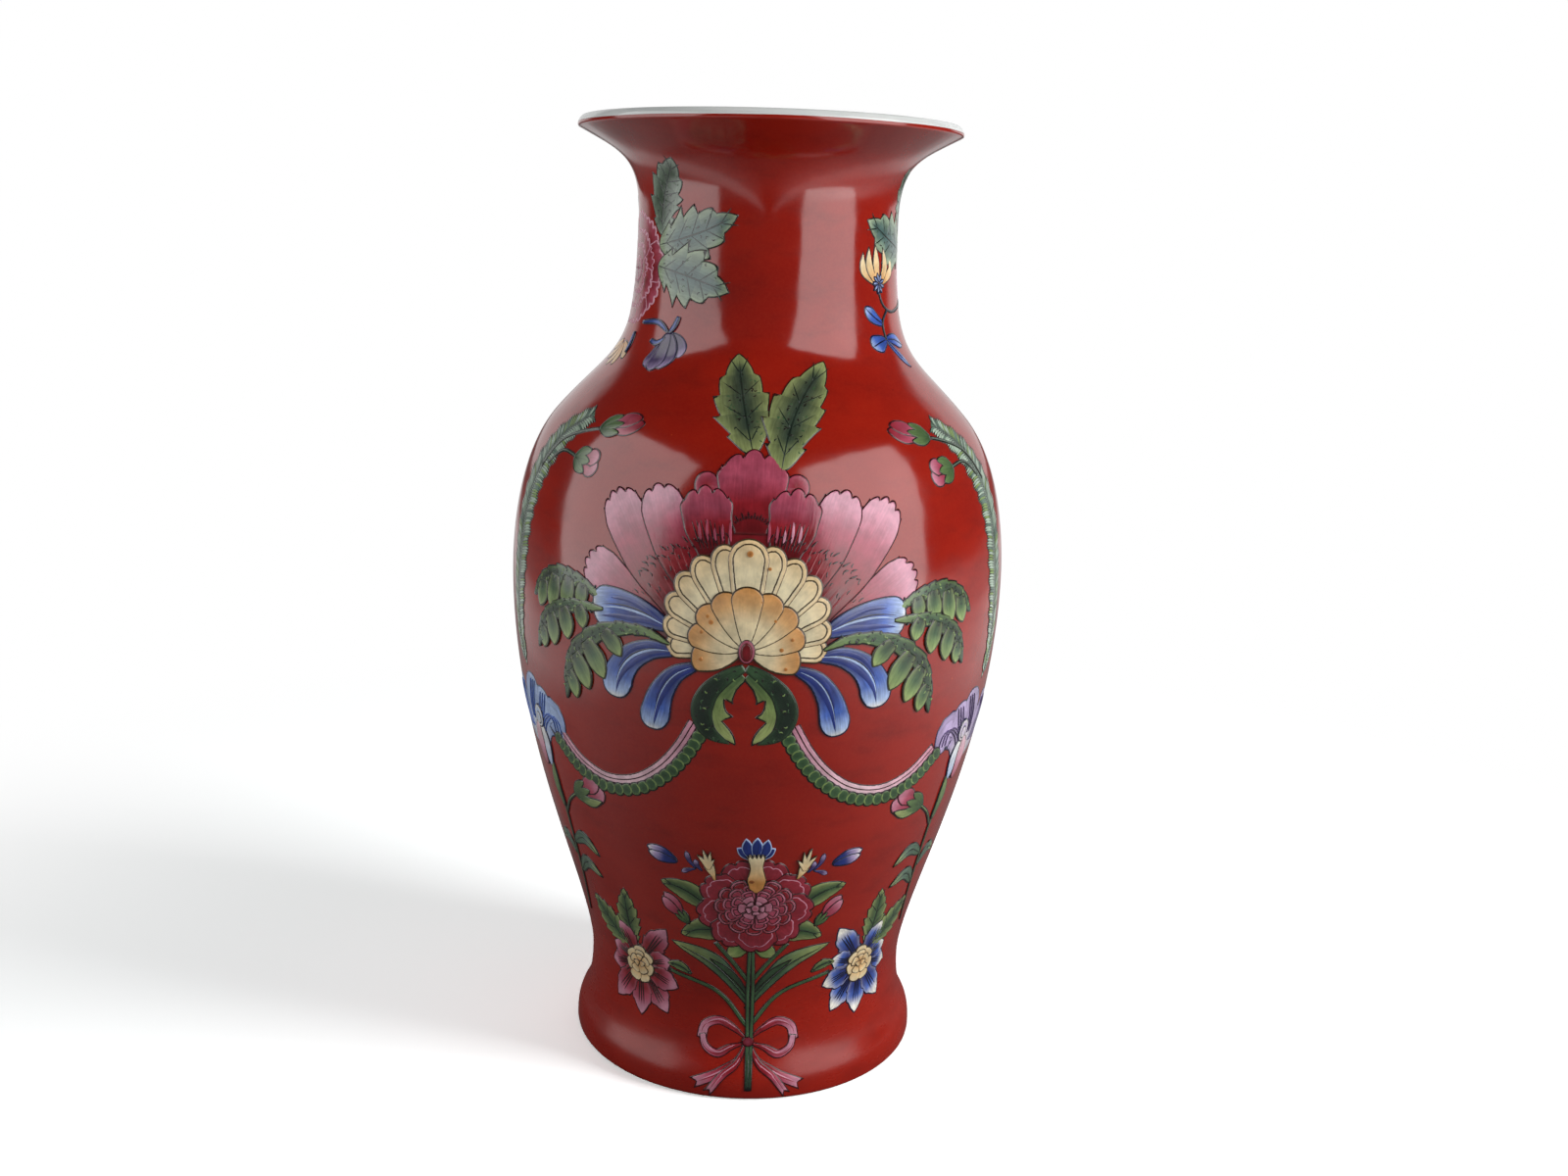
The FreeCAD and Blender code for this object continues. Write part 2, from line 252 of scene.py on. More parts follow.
def coral_material():
    """Glossy iron-red enamel: brushed on unevenly, with pinholes and a few stray specks."""
    material, tree, surface = new_material("coral_enamel")
    place = object_coordinates(tree)
    cloud = noise(tree, stretched(tree, place, (1, 1, 1.6)), 14, 4.0, 0.6)
    brushed = noise(tree, stretched(tree, place, (1, 1, 2.6)), 46, 3.0, 0.6)
    grain = noise(tree, place, 900, 2.0)
    colour = mix_colour(tree, remap(tree, cloud, 0.3, 0.72), rgb("8a150b"), rgb("9c1d0e"))
    colour = mix_colour(tree, remap(tree, brushed, 0.45, 0.8, 0.0, 0.4), colour, rgb("6b0f0a"))
    colour = mix_colour(tree, remap(tree, grain, 0.35, 0.7, 0.0, 0.14), colour, rgb("a8321a"))
    dark = math_node(tree, "MULTIPLY", specks(tree, place, 70, 0.035), 0.8)
    colour = mix_colour(tree, dark, colour, rgb("2a0906"))
    bright = math_node(
        tree, "MULTIPLY", specks(tree, stretched(tree, place, (1.3, 1.1, 1)), 38, 0.018), 0.8,
    )
    colour = mix_colour(tree, bright, colour, rgb("d9581e"))
    feed(tree, surface.inputs["Base Color"], colour)
    parts = tree.nodes.new("ShaderNodeSeparateXYZ")
    feed(tree, parts.inputs[0], place)
    # the foot is worn and less glossy
    dull = remap(tree, parts.outputs["Z"], 0.09, 0.04, 0.0, 0.16)
    feed(
        tree, surface.inputs["Roughness"],
        math_node(tree, "ADD", remap(tree, brushed, 0.3, 0.8, 0.1, 0.17), dull),
    )
    feed(
        tree, surface.inputs["Specular IOR Level"],
        math_node(tree, "SUBTRACT", 0.5, math_node(tree, "MULTIPLY", dull, 1.4)),
    )
    feed(tree, surface.inputs["IOR"], GLAZE_IOR)
    waves = math_node(tree, "ADD", noise(tree, place, 34, 2.0), math_node(tree, "MULTIPLY", grain, 0.02))
    pits = math_node(
        tree, "SUBTRACT", waves, math_node(tree, "MULTIPLY", specks(tree, place, 260, 0.05), 0.05),
    )
    bump(tree, surface, pits, 0.0007, 0.5)
    return material


def white_glaze_material():
    """Glossy white glaze with a faint cool tint, pooling and pinholes."""
    material, tree, surface = new_material("white_glaze")
    place = object_coordinates(tree)
    pooled = noise(tree, place, 24, 3.0)
    colour = mix_colour(tree, remap(tree, pooled, 0.35, 0.7), rgb("dcdedc"), rgb("ccd1d0"))
    colour = mix_colour(
        tree, math_node(tree, "MULTIPLY", specks(tree, place, 110, 0.03), 0.5), colour, rgb("6b5a48"),
    )
    feed(tree, surface.inputs["Base Color"], colour)
    feed(tree, surface.inputs["Roughness"], remap(tree, pooled, 0.3, 0.8, 0.08, 0.16))
    feed(tree, surface.inputs["IOR"], GLAZE_IOR)
    bump(tree, surface, noise(tree, place, 40, 2.0), 0.0006, 0.4)
    return material


def biscuit_material(name, colour_code):
    """Bare fired porcelain: matt, finely grained, a little stained."""
    material, tree, surface = new_material(name)
    place = object_coordinates(tree)
    stain = noise(tree, place, 30, 4.0)
    grain = noise(tree, place, 1500, 2.0)
    colour = mix_colour(tree, remap(tree, stain, 0.4, 0.75, 0.0, 0.5), rgb(colour_code), rgb("bda98a"))
    feed(tree, surface.inputs["Base Color"], colour)
    feed(tree, surface.inputs["Roughness"], remap(tree, grain, 0.3, 0.7, 0.6, 0.8))
    bump(tree, surface, grain, 0.0002, 0.6)
    return material


def enamel_material(name, streak, gloss):
    """Painted enamel: its own colours, brush streaks along each petal, and ink lines inside its edges."""
    material, tree, surface = new_material(name)
    place = object_coordinates(tree)
    flow = attribute(tree, "flow", "Vector")
    edge = attribute(tree, "edge")
    second = attribute(tree, "second")
    brush = noise(tree, stretched(tree, flow, (0.12, 1.1, 1.0)), 1.0, 3.0, 0.6)
    blotch = noise(tree, place, 150, 3.0, 0.6)
    streaked = remap(tree, brush, 0.25, 0.8, 1 - streak, 1 + streak)
    shaded = math_node(tree, "MULTIPLY", streaked, remap(tree, blotch, 0.25, 0.75, 0.78, 1.18))
    colour = mix_colour(tree, 1.0, attribute(tree, "paint", "Color"), shaded, "MULTIPLY")
    # a dark line just inside the edge, drawn with an unsteady hand, and a second one further in
    wobble = math_node(
        tree, "MULTIPLY", math_node(tree, "SUBTRACT", noise(tree, place, 700, 2.0), 0.5), 0.5,
    )
    uneven = math_node(tree, "ADD", edge, wobble)
    outline = remap(tree, uneven, 0.86, 0.5)
    apart = math_node(tree, "ABSOLUTE", math_node(tree, "SUBTRACT", uneven, second))
    inner = math_node(
        tree, "MULTIPLY", remap(tree, apart, 0.45, 0.2), math_node(tree, "GREATER_THAN", second, 0.1),
    )
    line = math_node(tree, "MULTIPLY", math_node(tree, "MAXIMUM", outline, inner), attribute(tree, "inked"))
    feed(
        tree, surface.inputs["Base Color"], mix_colour(tree, line, colour, attribute(tree, "ink", "Color")),
    )
    feed(tree, surface.inputs["Roughness"], remap(tree, blotch, 0.3, 0.8, gloss, gloss + 0.12))
    feed(tree, surface.inputs["IOR"], GLAZE_IOR)
    height = math_node(tree, "SUBTRACT", math_node(tree, "MULTIPLY", brush, 0.35), line)
    bump(tree, surface, height, 0.0002, 0.7)
    return material


# ---------------------------------------------------------------- raised enamel patches

# where the points of a strip lie, from its one side to its other
CROSS = np.array([-1, -0.94, -0.82, -0.6, -0.3, 0, 0.3, 0.6, 0.82, 0.94, 1])
FINE_CROSS = np.linspace(-1, 1, 37)
BARB_CROSS = np.array([-1, -0.6, 0, 0.6, 1])
OVAL_COLUMNS = 24
# all in mm
RELIEF = 0.13  # how far a patch stands up
BRUSH_RELIEF = 0.08  # how far a thin brush line stands up
LAYER = 0.14  # from one layer to the next
CLEARANCE = 0.02  # between the wall and the lowest layer
ROUNDING = 0.5  # how softly a patch rises from its edge
RIM_FOLD = 0.06  # how deep a patch's rim goes into the wall
LEAST_HALF = 0.02  # the least half-width of a strip
# the line round each patch is near black, but for these enamels
INKS = {
    "pink_enamel": WINE_INK,
    "crimson_enamel": WINE_INK,
    "blue_enamel": NAVY_INK,
    "cream_enamel": BROWN_INK,
}


def spline(points, t):
    """A smooth curve through the points, at the shares t of its length."""
    points = np.asarray(points, float)
    knots = np.concatenate([[0], np.cumsum(np.linalg.norm(np.diff(points, axis=0), axis=1))])
    knots /= knots[-1]
    if len(points) == 2:
        return points[0] + t[:, None] * (points[1] - points[0])
    slopes = np.gradient(points, knots, axis=0)
    i = np.clip(np.searchsorted(knots, t, side="right") - 1, 0, len(points) - 2)
    span = (knots[i + 1] - knots[i])[:, None]
    x = ((t - knots[i]) / (knots[i + 1] - knots[i]))[:, None]
    return (
        (1 + 2 * x) * (1 - x) ** 2 * points[i]
        + x * (1 - x) ** 2 * span * slopes[i]
        + x**2 * (3 - 2 * x) * points[i + 1]
        + x**2 * (x - 1) * span * slopes[i + 1]
    )


def curve_length(points):
    return float(np.linalg.norm(np.diff(np.asarray(points, float), axis=0), axis=1).sum())


def through(stops):
    """A function of t that passes smoothly through (t, value) stops."""
    knots = np.array([s[0] for s in stops], float)
    values = np.array([s[1] for s in stops], float)

    def value(t):
        i = np.clip(np.searchsorted(knots, t, side="right") - 1, 0, len(knots) - 2)
        x = np.clip((t - knots[i]) / (knots[i + 1] - knots[i]), 0, 1)
        return values[i] + (values[i + 1] - values[i]) * x * x * (3 - 2 * x)

    return value


def even(half):
    """The same half-width all along."""
    return lambda t: half + 0 * t


def petal(width, belly=0.6, start=0.6, tip=0.5, narrow=0.0):
    """Half-width along a petal: it grows from the base to the belly, then closes to its tip."""

    def value(t):
        rise = narrow + (1 - narrow) * np.clip(t / belly, 0, 1) ** start
        fall = np.clip(1 - np.clip((t - belly) / (1 - belly), 0, 1) ** 2, 0, 1) ** tip
        return width * rise * fall

    return value


def toothed(shape, count, depth):
    """Gives an outline teeth that point to the tip."""

    def value(t):
        tooth = (t * count) % 1.0
        return shape(t) * (1 - depth * (1 - tooth) * np.clip(6 * t, 0, 1))

    return value


def edge_distance(flat):
    """Distance from each point of a strip to its sides and tip."""
    line = np.concatenate([flat[:, 0], flat[-1], flat[::-1, -1]])
    sides = np.diff(line, axis=0)
    away = flat[:, :, None] - line[:-1]
    share = np.clip((away * sides).sum(-1) / ((sides**2).sum(-1) + 1e-9), 0, 1)
    return np.linalg.norm(away - share[..., None] * sides, axis=-1).min(-1)


def fade(*colours):
    """Paint stops at even steps along a patch."""
    return [(i / (len(colours) - 1), colour) for i, colour in enumerate(colours)]


def gradient(stops, t):
    """Colour along t, from (t, colour) stops."""
    knots = [s[0] for s in stops]
    return np.stack([np.interp(t, knots, [s[1][c] for s in stops]) for c in range(3)], -1)


def grid_quads(index):
    """The faces between the rows and columns of a grid of point numbers."""
    return np.stack([index[:-1, :-1], index[:-1, 1:], index[1:, 1:], index[1:, :-1]], -1).reshape(-1, 4)


def domed(edge, relief):
    """How far enamel stands up, at a distance from its edge."""
    return relief * (1 - np.exp(-np.minimum(edge, 3) / ROUNDING))


class Piece:
    """Enamel patches that lie on the wall round one spot, made into one object.

    slot names the piece's enamel material, and nodes are the CAD parts that the piece stands for."""

    def __init__(self, name, slot, spot, side, nodes):
        self.name, self.slot, self.spot, self.side, self.nodes = name, slot, spot, side, nodes
        self.ink = INKS.get(slot, INK)
        self.parts = []
        self.faces = []
        self.count = 0

    def add(self, flat, lift, paint, ink, edge, second, inked, flow, closed=False):
        """One grid of points: rows by columns. The rim is folded down into the wall."""
        flat = flat * np.array([self.side, 1.0])
        around = ((0, 1), (0, 0)) if closed else ((1, 1), (1, 1))
        flat = np.pad(flat, around + ((0, 0),), mode="edge")
        paint = np.pad(np.broadcast_to(paint, lift.shape + (3,)), around + ((0, 0),), mode="edge")
        flow = np.pad(flow, around + ((0, 0),), mode="edge")
        edge = np.pad(edge, around, mode="edge")
        lift = np.pad(lift, around, constant_values=-RIM_FOLD)
        rows, columns = lift.shape
        index = self.count + np.arange(rows * columns).reshape(rows, columns)
        if closed:
            index = np.concatenate([index, index[:, :1]], 1)
        quads = grid_quads(index)
        if closed:
            along = flat[-2, 0] - flat[0, 0]
            across = flat[-2, 1] - flat[-2, 0]
        else:
            along = flat[-2, columns // 2] - flat[1, columns // 2]
            across = flat[rows // 2, -2] - flat[rows // 2, 1]
        if along[0] * across[1] - along[1] * across[0] > 0:
            quads = quads[:, ::-1]
        self.faces.append(quads)
        size = rows * columns
        self.count += size
        self.parts.append(
            {
                "place": on_wall(self.spot, flat, lift).reshape(-1, 3),
                "paint": paint.reshape(-1, 3),
                "ink": np.broadcast_to(self.ink if ink is None else ink, (size, 3)),
                "edge": edge.reshape(-1),
                "second": np.full(size, second),
                "inked": np.full(size, inked),
                "flow": flow.reshape(-1, 3),
            }
        )

    def strip(
        self, path, width, paint, ink=None, rim=None, rim_share=0.7, rim_power=3.0, layer=0, rows=26,
        tip=None, second=0.0, inked=1.0, relief=RELIEF, line=1.0, right=None, cross=CROSS,
    ):
        """A petal, leaf or ribbon along a path.

        width gives the half-width; right, the other side's if different. paint is (t, colour) stops; rim is
        mixed in towards the sides. tip pushes an open end out, by s from -1 to 1 across the end."""
        fine = np.linspace(0, 1, 400)
        length = curve_length(spline(path, fine))
        outline = np.cumsum(np.hypot(np.diff(fine) * length, np.diff(width(fine) + 0 * fine)))
        t = np.interp(np.linspace(0, outline[-1], rows), np.concatenate([[0], outline]), fine)
        centre = spline(path, t)
        along = np.gradient(centre, t, axis=0)
        along /= np.linalg.norm(along, axis=1)[:, None] + 1e-9
        aside = np.stack([along[:, 1], -along[:, 0]], -1)
        half = np.stack([width(t), (right or width)(t)], -1) + LEAST_HALF
        s = np.broadcast_to(cross, (rows, len(cross)))
        reach = np.where(s < 0, half[:, :1], half[:, 1:])
        flat = centre[:, None] + (s * reach)[..., None] * aside[:, None]
        if tip is not None:
            push = tip(s) * np.clip((t[:, None] - 0.45) / 0.55, 0, 1)
            flat = flat + push[..., None] * along[:, None]
        edge = edge_distance(flat)
        colour = np.broadcast_to(gradient(paint, t)[:, None], flat.shape[:2] + (3,))
        if rim is not None:
            share = (rim_share * np.abs(s) ** rim_power)[..., None]
            colour = colour * (1 - share) + rim * share
        lift = LAYER * layer + CLEARANCE + domed(edge, relief)
        flow = np.stack(
            [np.broadcast_to(t[:, None] * length, s.shape), s * reach, s * 0 + self.count * 0.37], -1,
        )
        self.add(flat, lift, colour, ink, edge / line, second / line, inked, flow)

    def stroke(self, path, width, colour, layer=0, rows=10, taper=True):
        """A thin brush line."""
        shape = petal(width / 2, 0.4, 0.4, 0.7) if taper else even(width / 2)
        self.strip(
            path, shape, fade(colour, colour), layer=layer, rows=rows, inked=0.0, relief=BRUSH_RELIEF,
        )

    def blob(self, centre, radii, paint, ink=None, layer=0, inked=1.0, line=1.0):
        """A closed oval patch; paint runs from the centre out."""
        angle = np.linspace(0, 2 * math.pi, OVAL_COLUMNS, endpoint=False)
        share = np.array([0, 0.25, 0.5, 0.7, 0.85, 0.94, 1.0])
        rim = np.stack([radii[0] * np.cos(angle), radii[1] * np.sin(angle)], -1)
        flat = np.array(centre, float) + share[:, None, None] * rim[None]
        reach = np.linalg.norm(rim, axis=1)[None]
        edge = (1 - share[:, None]) * reach
        colour = np.broadcast_to(gradient(paint, share)[:, None], flat.shape[:2] + (3,))
        lift = LAYER * layer + CLEARANCE + domed(edge, RELIEF)
        flow = np.stack([share[:, None] * reach, angle[None] * 3 + 0 * edge, 0 * edge + self.count], -1)
        self.add(flat, lift, colour, ink, edge / line, 0.0, inked, flow, closed=True)

    def build(self):
        """Makes the mesh. Its attributes tell the enamel material what to paint where."""
        place = np.concatenate([p["place"] for p in self.parts])
        mesh = bpy.data.meshes.new(self.name)
        mesh.from_pydata(place.tolist(), [], np.concatenate(self.faces).tolist())
        for word, kind in (("paint", "FLOAT_COLOR"), ("ink", "FLOAT_COLOR"), ("flow", "FLOAT_VECTOR")):
            values = np.concatenate([p[word] for p in self.parts])
            layer = mesh.attributes.new(word, kind, "POINT")
            if kind == "FLOAT_COLOR":
                values = np.concatenate([values, np.ones((len(values), 1))], 1)
                layer.data.foreach_set("color", values.astype(np.float32).ravel())
            else:
                layer.data.foreach_set("vector", values.astype(np.float32).ravel())
        for word in ("edge", "second", "inked"):
            values = np.concatenate([p[word] for p in self.parts])
            mesh.attributes.new(word, "FLOAT", "POINT").data.foreach_set("value", values.astype(np.float32))
        mesh.shade_smooth()
        thing = bpy.data.objects.new(self.name, mesh)
        bpy.context.scene.collection.objects.link(thing)
        thing.data.materials.append(ENAMELS[self.slot])
        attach(thing, "root")
        if self.nodes:
            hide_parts(*self.nodes)


def around(centre, angle, reach, squash=1.0):
    """A point at a distance from a centre, in a direction given in degrees."""
    turn = math.radians(angle)
    return (centre[0] + reach * math.cos(turn), centre[1] + reach * squash * math.sin(turn))


# ---------------------------------------------------------------- the porcelain itself


def turned(name, outline, material, nodes, closed=False):
    """A surface of revolution: outline is radius and height in mm, or a function of the angle."""
    angle = np.linspace(0, 2 * math.pi, TURNED_COLUMNS, endpoint=False)
    rows = np.stack([outline(a) if callable(outline) else outline for a in angle], 1)
    radius, height = rows[..., 0], rows[..., 1]
    place = np.stack([radius * np.sin(angle), -radius * np.cos(angle), height], -1) * MM
    index = np.arange(rows[..., 0].size).reshape(rows.shape[:2])
    index = np.concatenate([index, index[:, :1]], 1)
    if closed:
        index = np.concatenate([index, index[:1]], 0)
    quads = grid_quads(index)
    mesh = bpy.data.meshes.new(name)
    mesh.from_pydata(place.reshape(-1, 3).tolist(), [], quads.tolist())
    mesh.shade_smooth()
    mesh.materials.append(material)
    thing = bpy.data.objects.new(name, mesh)
    bpy.context.scene.collection.objects.link(thing)
    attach(thing, "root")
    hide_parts(*nodes)


def lip_curve(t, wave=0.0):
    """Points round the lip's edge, from the coral side at t 0 to the inside at t 1."""
    lip = STATIONS[-1]
    corners = ((wave, 0), (wave, LIP_BULGE), (WALL_DEPTH, LIP_BULGE), (WALL_DEPTH, 0))
    a, b, c, d = [station_point(lip, depth, reach) for depth, reach in corners]
    t = np.asarray(t, float)[:, None]
    return (1 - t) ** 3 * a + 3 * (1 - t) ** 2 * t * b + 3 * (1 - t) * t**2 * c + t**3 * d


def ground_outline():
    wall = wall_points(0.0, steps=52)
    bottom = [[86.6, 0.7], [86.9, 0.75], [87.3, 1.3], [87.5, 2.2]]
    return np.concatenate([bottom, wall, lip_curve(np.linspace(0.08, 0.5, 6))])


def lip_outline(angle):
    """The white lip: a wavy lower edge on the coral, the rounded rim, and down to the interior glaze."""
    wave = 0.02 * math.sin(3 * angle + 1) + 0.012 * math.sin(8 * angle)
    start = 0.33 + wave
    under = lip_curve([start], 0.1)
    return np.concatenate([under, lip_curve(np.linspace(start + 0.02, 1, 16), -0.08)])


def interior_outline():
    wall = wall_points(WALL_DEPTH, steps=40)[::-1]
    wall = wall[wall[:, 1] > FLOOR_HEIGHT + 4]
    radius = wall[-1, 0]
    turn = np.radians(np.linspace(0, 90, 7))[1:]
    corner = np.stack([radius - 4 * (1 - np.cos(turn)), FLOOR_HEIGHT + 4 - 4 * np.sin(turn)], -1)
    floor = [[r, FLOOR_HEIGHT] for r in (50, 25, 0.5)]
    return np.concatenate([wall, corner, floor])


def foot_outline():
    """The foot ring: bare at the bottom edge, where the glaze was wiped off before firing."""
    outer = wall_points(0.5, STATIONS[:2], steps=16)[::-1]
    inner = wall_points(4.8, STATIONS[:2], steps=16)
    radius = outer[-1, 0]
    edge = [
        [radius, 1.5], [radius - 0.5, 0.5], [radius - 1.5, 0], [76.5, 0], [75.5, 0.5], [75, 1.5], [75, 20],
    ]
    return np.concatenate([outer, edge, inner[inner[:, 1] > 28]])


# ---------------------------------------------------------------- studio

# how bright the room is in what the glaze mirrors: ahead of the vase, behind it, and overhead
ROOM_AHEAD = 0.05
ROOM_BEHIND = 0.8
ROOM_ABOVE = 0.4
# how strongly the paper returns light to the camera, so that it shows white round the shadow
FLOOR_LIFT = (1.95, 2.0, 2.0)
FLOOR_HALF = 12.0
AIM_HEIGHT = 0.23


def softbox(name, turn, rise, distance, size, watts, lit=None, glossy=True, casts=True):
    """An area light that faces the vase from turn degrees right of the front.

    Given lit, it lights only that collection."""
    light = bpy.data.lights.new(name, "AREA")
    light.shape = "RECTANGLE"
    light.size, light.size_y = size
    light.energy = watts
    thing = bpy.data.objects.new(name, light)
    turn, rise = math.radians(turn), math.radians(rise)
    aim = Vector((0, 0, AIM_HEIGHT))
    away = Vector((math.sin(turn) * math.cos(rise), -math.cos(turn) * math.cos(rise), math.sin(rise)))
    thing.location = aim + away * distance
    thing.rotation_euler = away.to_track_quat("Z", "Y").to_euler()
    thing.visible_camera = False
    thing.visible_glossy = glossy
    if lit:
        thing.light_linking.receiver_collection = lit
    if not casts:
        thing.light_linking.blocker_collection = lit
    bpy.context.scene.collection.objects.link(thing)


def studio_floor():
    """White paper that shows the vase's shadow."""
    mesh = bpy.data.meshes.new("floor")
    corners = [(x * FLOOR_HALF, y * FLOOR_HALF, 0) for x, y in ((-1, -1), (1, -1), (1, 1), (-1, 1))]
    mesh.from_pydata(corners, [], [(0, 1, 2, 3)])
    floor = bpy.data.objects.new("floor", mesh)
    bpy.context.scene.collection.objects.link(floor)
    material, tree, surface = new_material("floor_paper")
    tree.nodes.remove(surface)
    length = tree.nodes.new("ShaderNodeVectorMath")
    length.operation = "LENGTH"
    feed(tree, length.inputs[0], object_coordinates(tree))
    # the camera sees the paper turn to plain white away from the vase
    far = remap(tree, length.outputs["Value"], 0.25, 0.75)
    glow = tree.nodes.new("ShaderNodeEmission")
    feed(tree, glow.inputs["Color"], rgb("ffffff"))
    blend = tree.nodes.new("ShaderNodeMixShader")
    path = tree.nodes.new("ShaderNodeLightPath")
    camera_ray = path.outputs["Is Camera Ray"]
    paper = tree.nodes.new("ShaderNodeBsdfDiffuse")
    across = tree.nodes.new("ShaderNodeSeparateXYZ")
    feed(tree, across.inputs[0], object_coordinates(tree))
    aside = math_node(tree, "ABSOLUTE", across.outputs["X"])
    # in what the glaze mirrors, the paper is grey at the vase and bright in a band at each side
    plain = mix_colour(tree, remap(tree, aside, 0.06, 0.5), rgb("707070"), rgb("c8c8c8"))
    feed(tree, paper.inputs["Color"], mix_colour(tree, camera_ray, plain, FLOOR_LIFT))
    near = math_node(tree, "MULTIPLY", remap(tree, aside, 0.4, 0.6), remap(tree, aside, 1.1, 0.75))
    mirrored = math_node(
        tree, "MULTIPLY", math_node(tree, "MULTIPLY", near, 0.6), path.outputs["Is Glossy Ray"],
    )
    feed(
        tree, blend.inputs[0],
        math_node(tree, "ADD", math_node(tree, "MULTIPLY", far, camera_ray), mirrored),
    )
    output = next(node for node in tree.nodes if node.type == "OUTPUT_MATERIAL")
    tree.links.new(paper.outputs[0], blend.inputs[1])
    tree.links.new(glow.outputs[0], blend.inputs[2])
    tree.links.new(blend.outputs[0], output.inputs["Surface"])
    mesh.materials.append(material)
    floor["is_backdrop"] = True


def studio_world():
    """White to the camera; pale at the sides and darker ahead in what the glaze mirrors."""
    world = bpy.data.worlds.new("studio")
    world.use_nodes = True
    tree = world.node_tree
    tree.nodes.clear()
    output = tree.nodes.new("ShaderNodeOutputWorld")
    seen = tree.nodes.new("ShaderNodeBackground")
    felt = tree.nodes.new("ShaderNodeBackground")
    feed(tree, seen.inputs["Color"], rgb("ffffff"))
    parts = tree.nodes.new("ShaderNodeSeparateXYZ")
    tree.links.new(tree.nodes.new("ShaderNodeTexCoord").outputs["Generated"], parts.inputs[0])
    behind = remap(tree, parts.outputs["Y"], 0.6, 0.74, ROOM_AHEAD, ROOM_BEHIND)
    above = remap(tree, parts.outputs["Z"], 0.35, 0.9, 1.0, ROOM_ABOVE)
    feed(tree, felt.inputs["Color"], rgb("ffffff"))
    feed(tree, felt.inputs["Strength"], math_node(tree, "MULTIPLY", behind, above))
    choose = tree.nodes.new("ShaderNodeMixShader")
    tree.links.new(tree.nodes.new("ShaderNodeLightPath").outputs["Is Camera Ray"], choose.inputs[0])
    tree.links.new(felt.outputs[0], choose.inputs[1])
    tree.links.new(seen.outputs[0], choose.inputs[2])
    tree.links.new(choose.outputs[0], output.inputs["Surface"])
    bpy.context.scene.world = world


def studio_camera():
    """In front of the vase, looking down at it a little, and tilted a little to one side."""
    camera = bpy.data.cameras.new("camera")
    camera.sensor_width = 36
    camera.lens = 34.67
    camera.shift_x = 0.0176
    camera.clip_start = 0.01
    thing = bpy.data.objects.new("camera", camera)
    pitch, roll = math.radians(13.17), math.radians(1.84)
    right = Vector((1, 0, 0))
    up = Vector((0, math.sin(pitch), math.cos(pitch)))
    tilted_right = math.cos(roll) * right + math.sin(roll) * up
    tilted_up = math.cos(roll) * up - math.sin(roll) * right
    back = tilted_right.cross(tilted_up)
    turn = Matrix((tilted_right, tilted_up, back)).transposed()
    thing.matrix_world = Matrix.Translation((0, -0.7357, 0.404)) @ turn.to_4x4()
    bpy.context.scene.collection.objects.link(thing)
    bpy.context.scene.camera = thing
    bpy.context.scene.view_settings.view_transform = "Standard"


# ---------------------------------------------------------------- enamel motifs
# Each motif is drawn for the left, in mm from its spot on the wall; side -1 draws it for the right.

SIDES = {1: "left", -1: "right"}
# where the motifs are centred: degrees right of the front, and height in mm
MEDALLION = (-1.7, 232)
NECK = (-73, 390)
BOUQUET = (2.0, 105)
SHOULDER = 300
IRIS_HEIGHT = 180
# barbs on each side of a feather
BARBS = 105


class Face:
    """One side of the vase, with the names of its pieces and of the CAD parts they stand for."""

    def __init__(self, word, turn):
        self.word, self.turn = word, turn
        self.pieces = []

    def piece(self, name, slot, place, side=None, node=None):
        """A new piece. One of a pair is called left or right, and the left one stands for the node."""
        if side:
            name = f"{name}_{SIDES[side]}"
        nodes = [f"{self.word}_{node}"] if node and side != -1 else []
        self.pieces.append(
            Piece(f"{self.word}_{name}", slot, (place[0] + self.turn, place[1]), side or 1, nodes)
        )
        return self.pieces[-1]


def scribble(piece, path, width, count, colours, layer, start=0.08, end=0.9):
    """Short curled brush marks scattered along a path."""
    middle = spline(path, np.linspace(start, end, count))
    for i, point in enumerate(middle):
        turn = 2.4 * i
        first = point + 0.5 * width * np.array([math.sin(7.3 * i), math.cos(5.1 * i)])
        bend = first + 0.9 * np.array([math.cos(turn), math.sin(turn)])
        last = bend + 1.1 * np.array([math.cos(turn + 1.2), math.sin(turn + 1.2)])
        piece.stroke([first, bend, last], 0.6, colours[i % len(colours)], layer, rows=5)


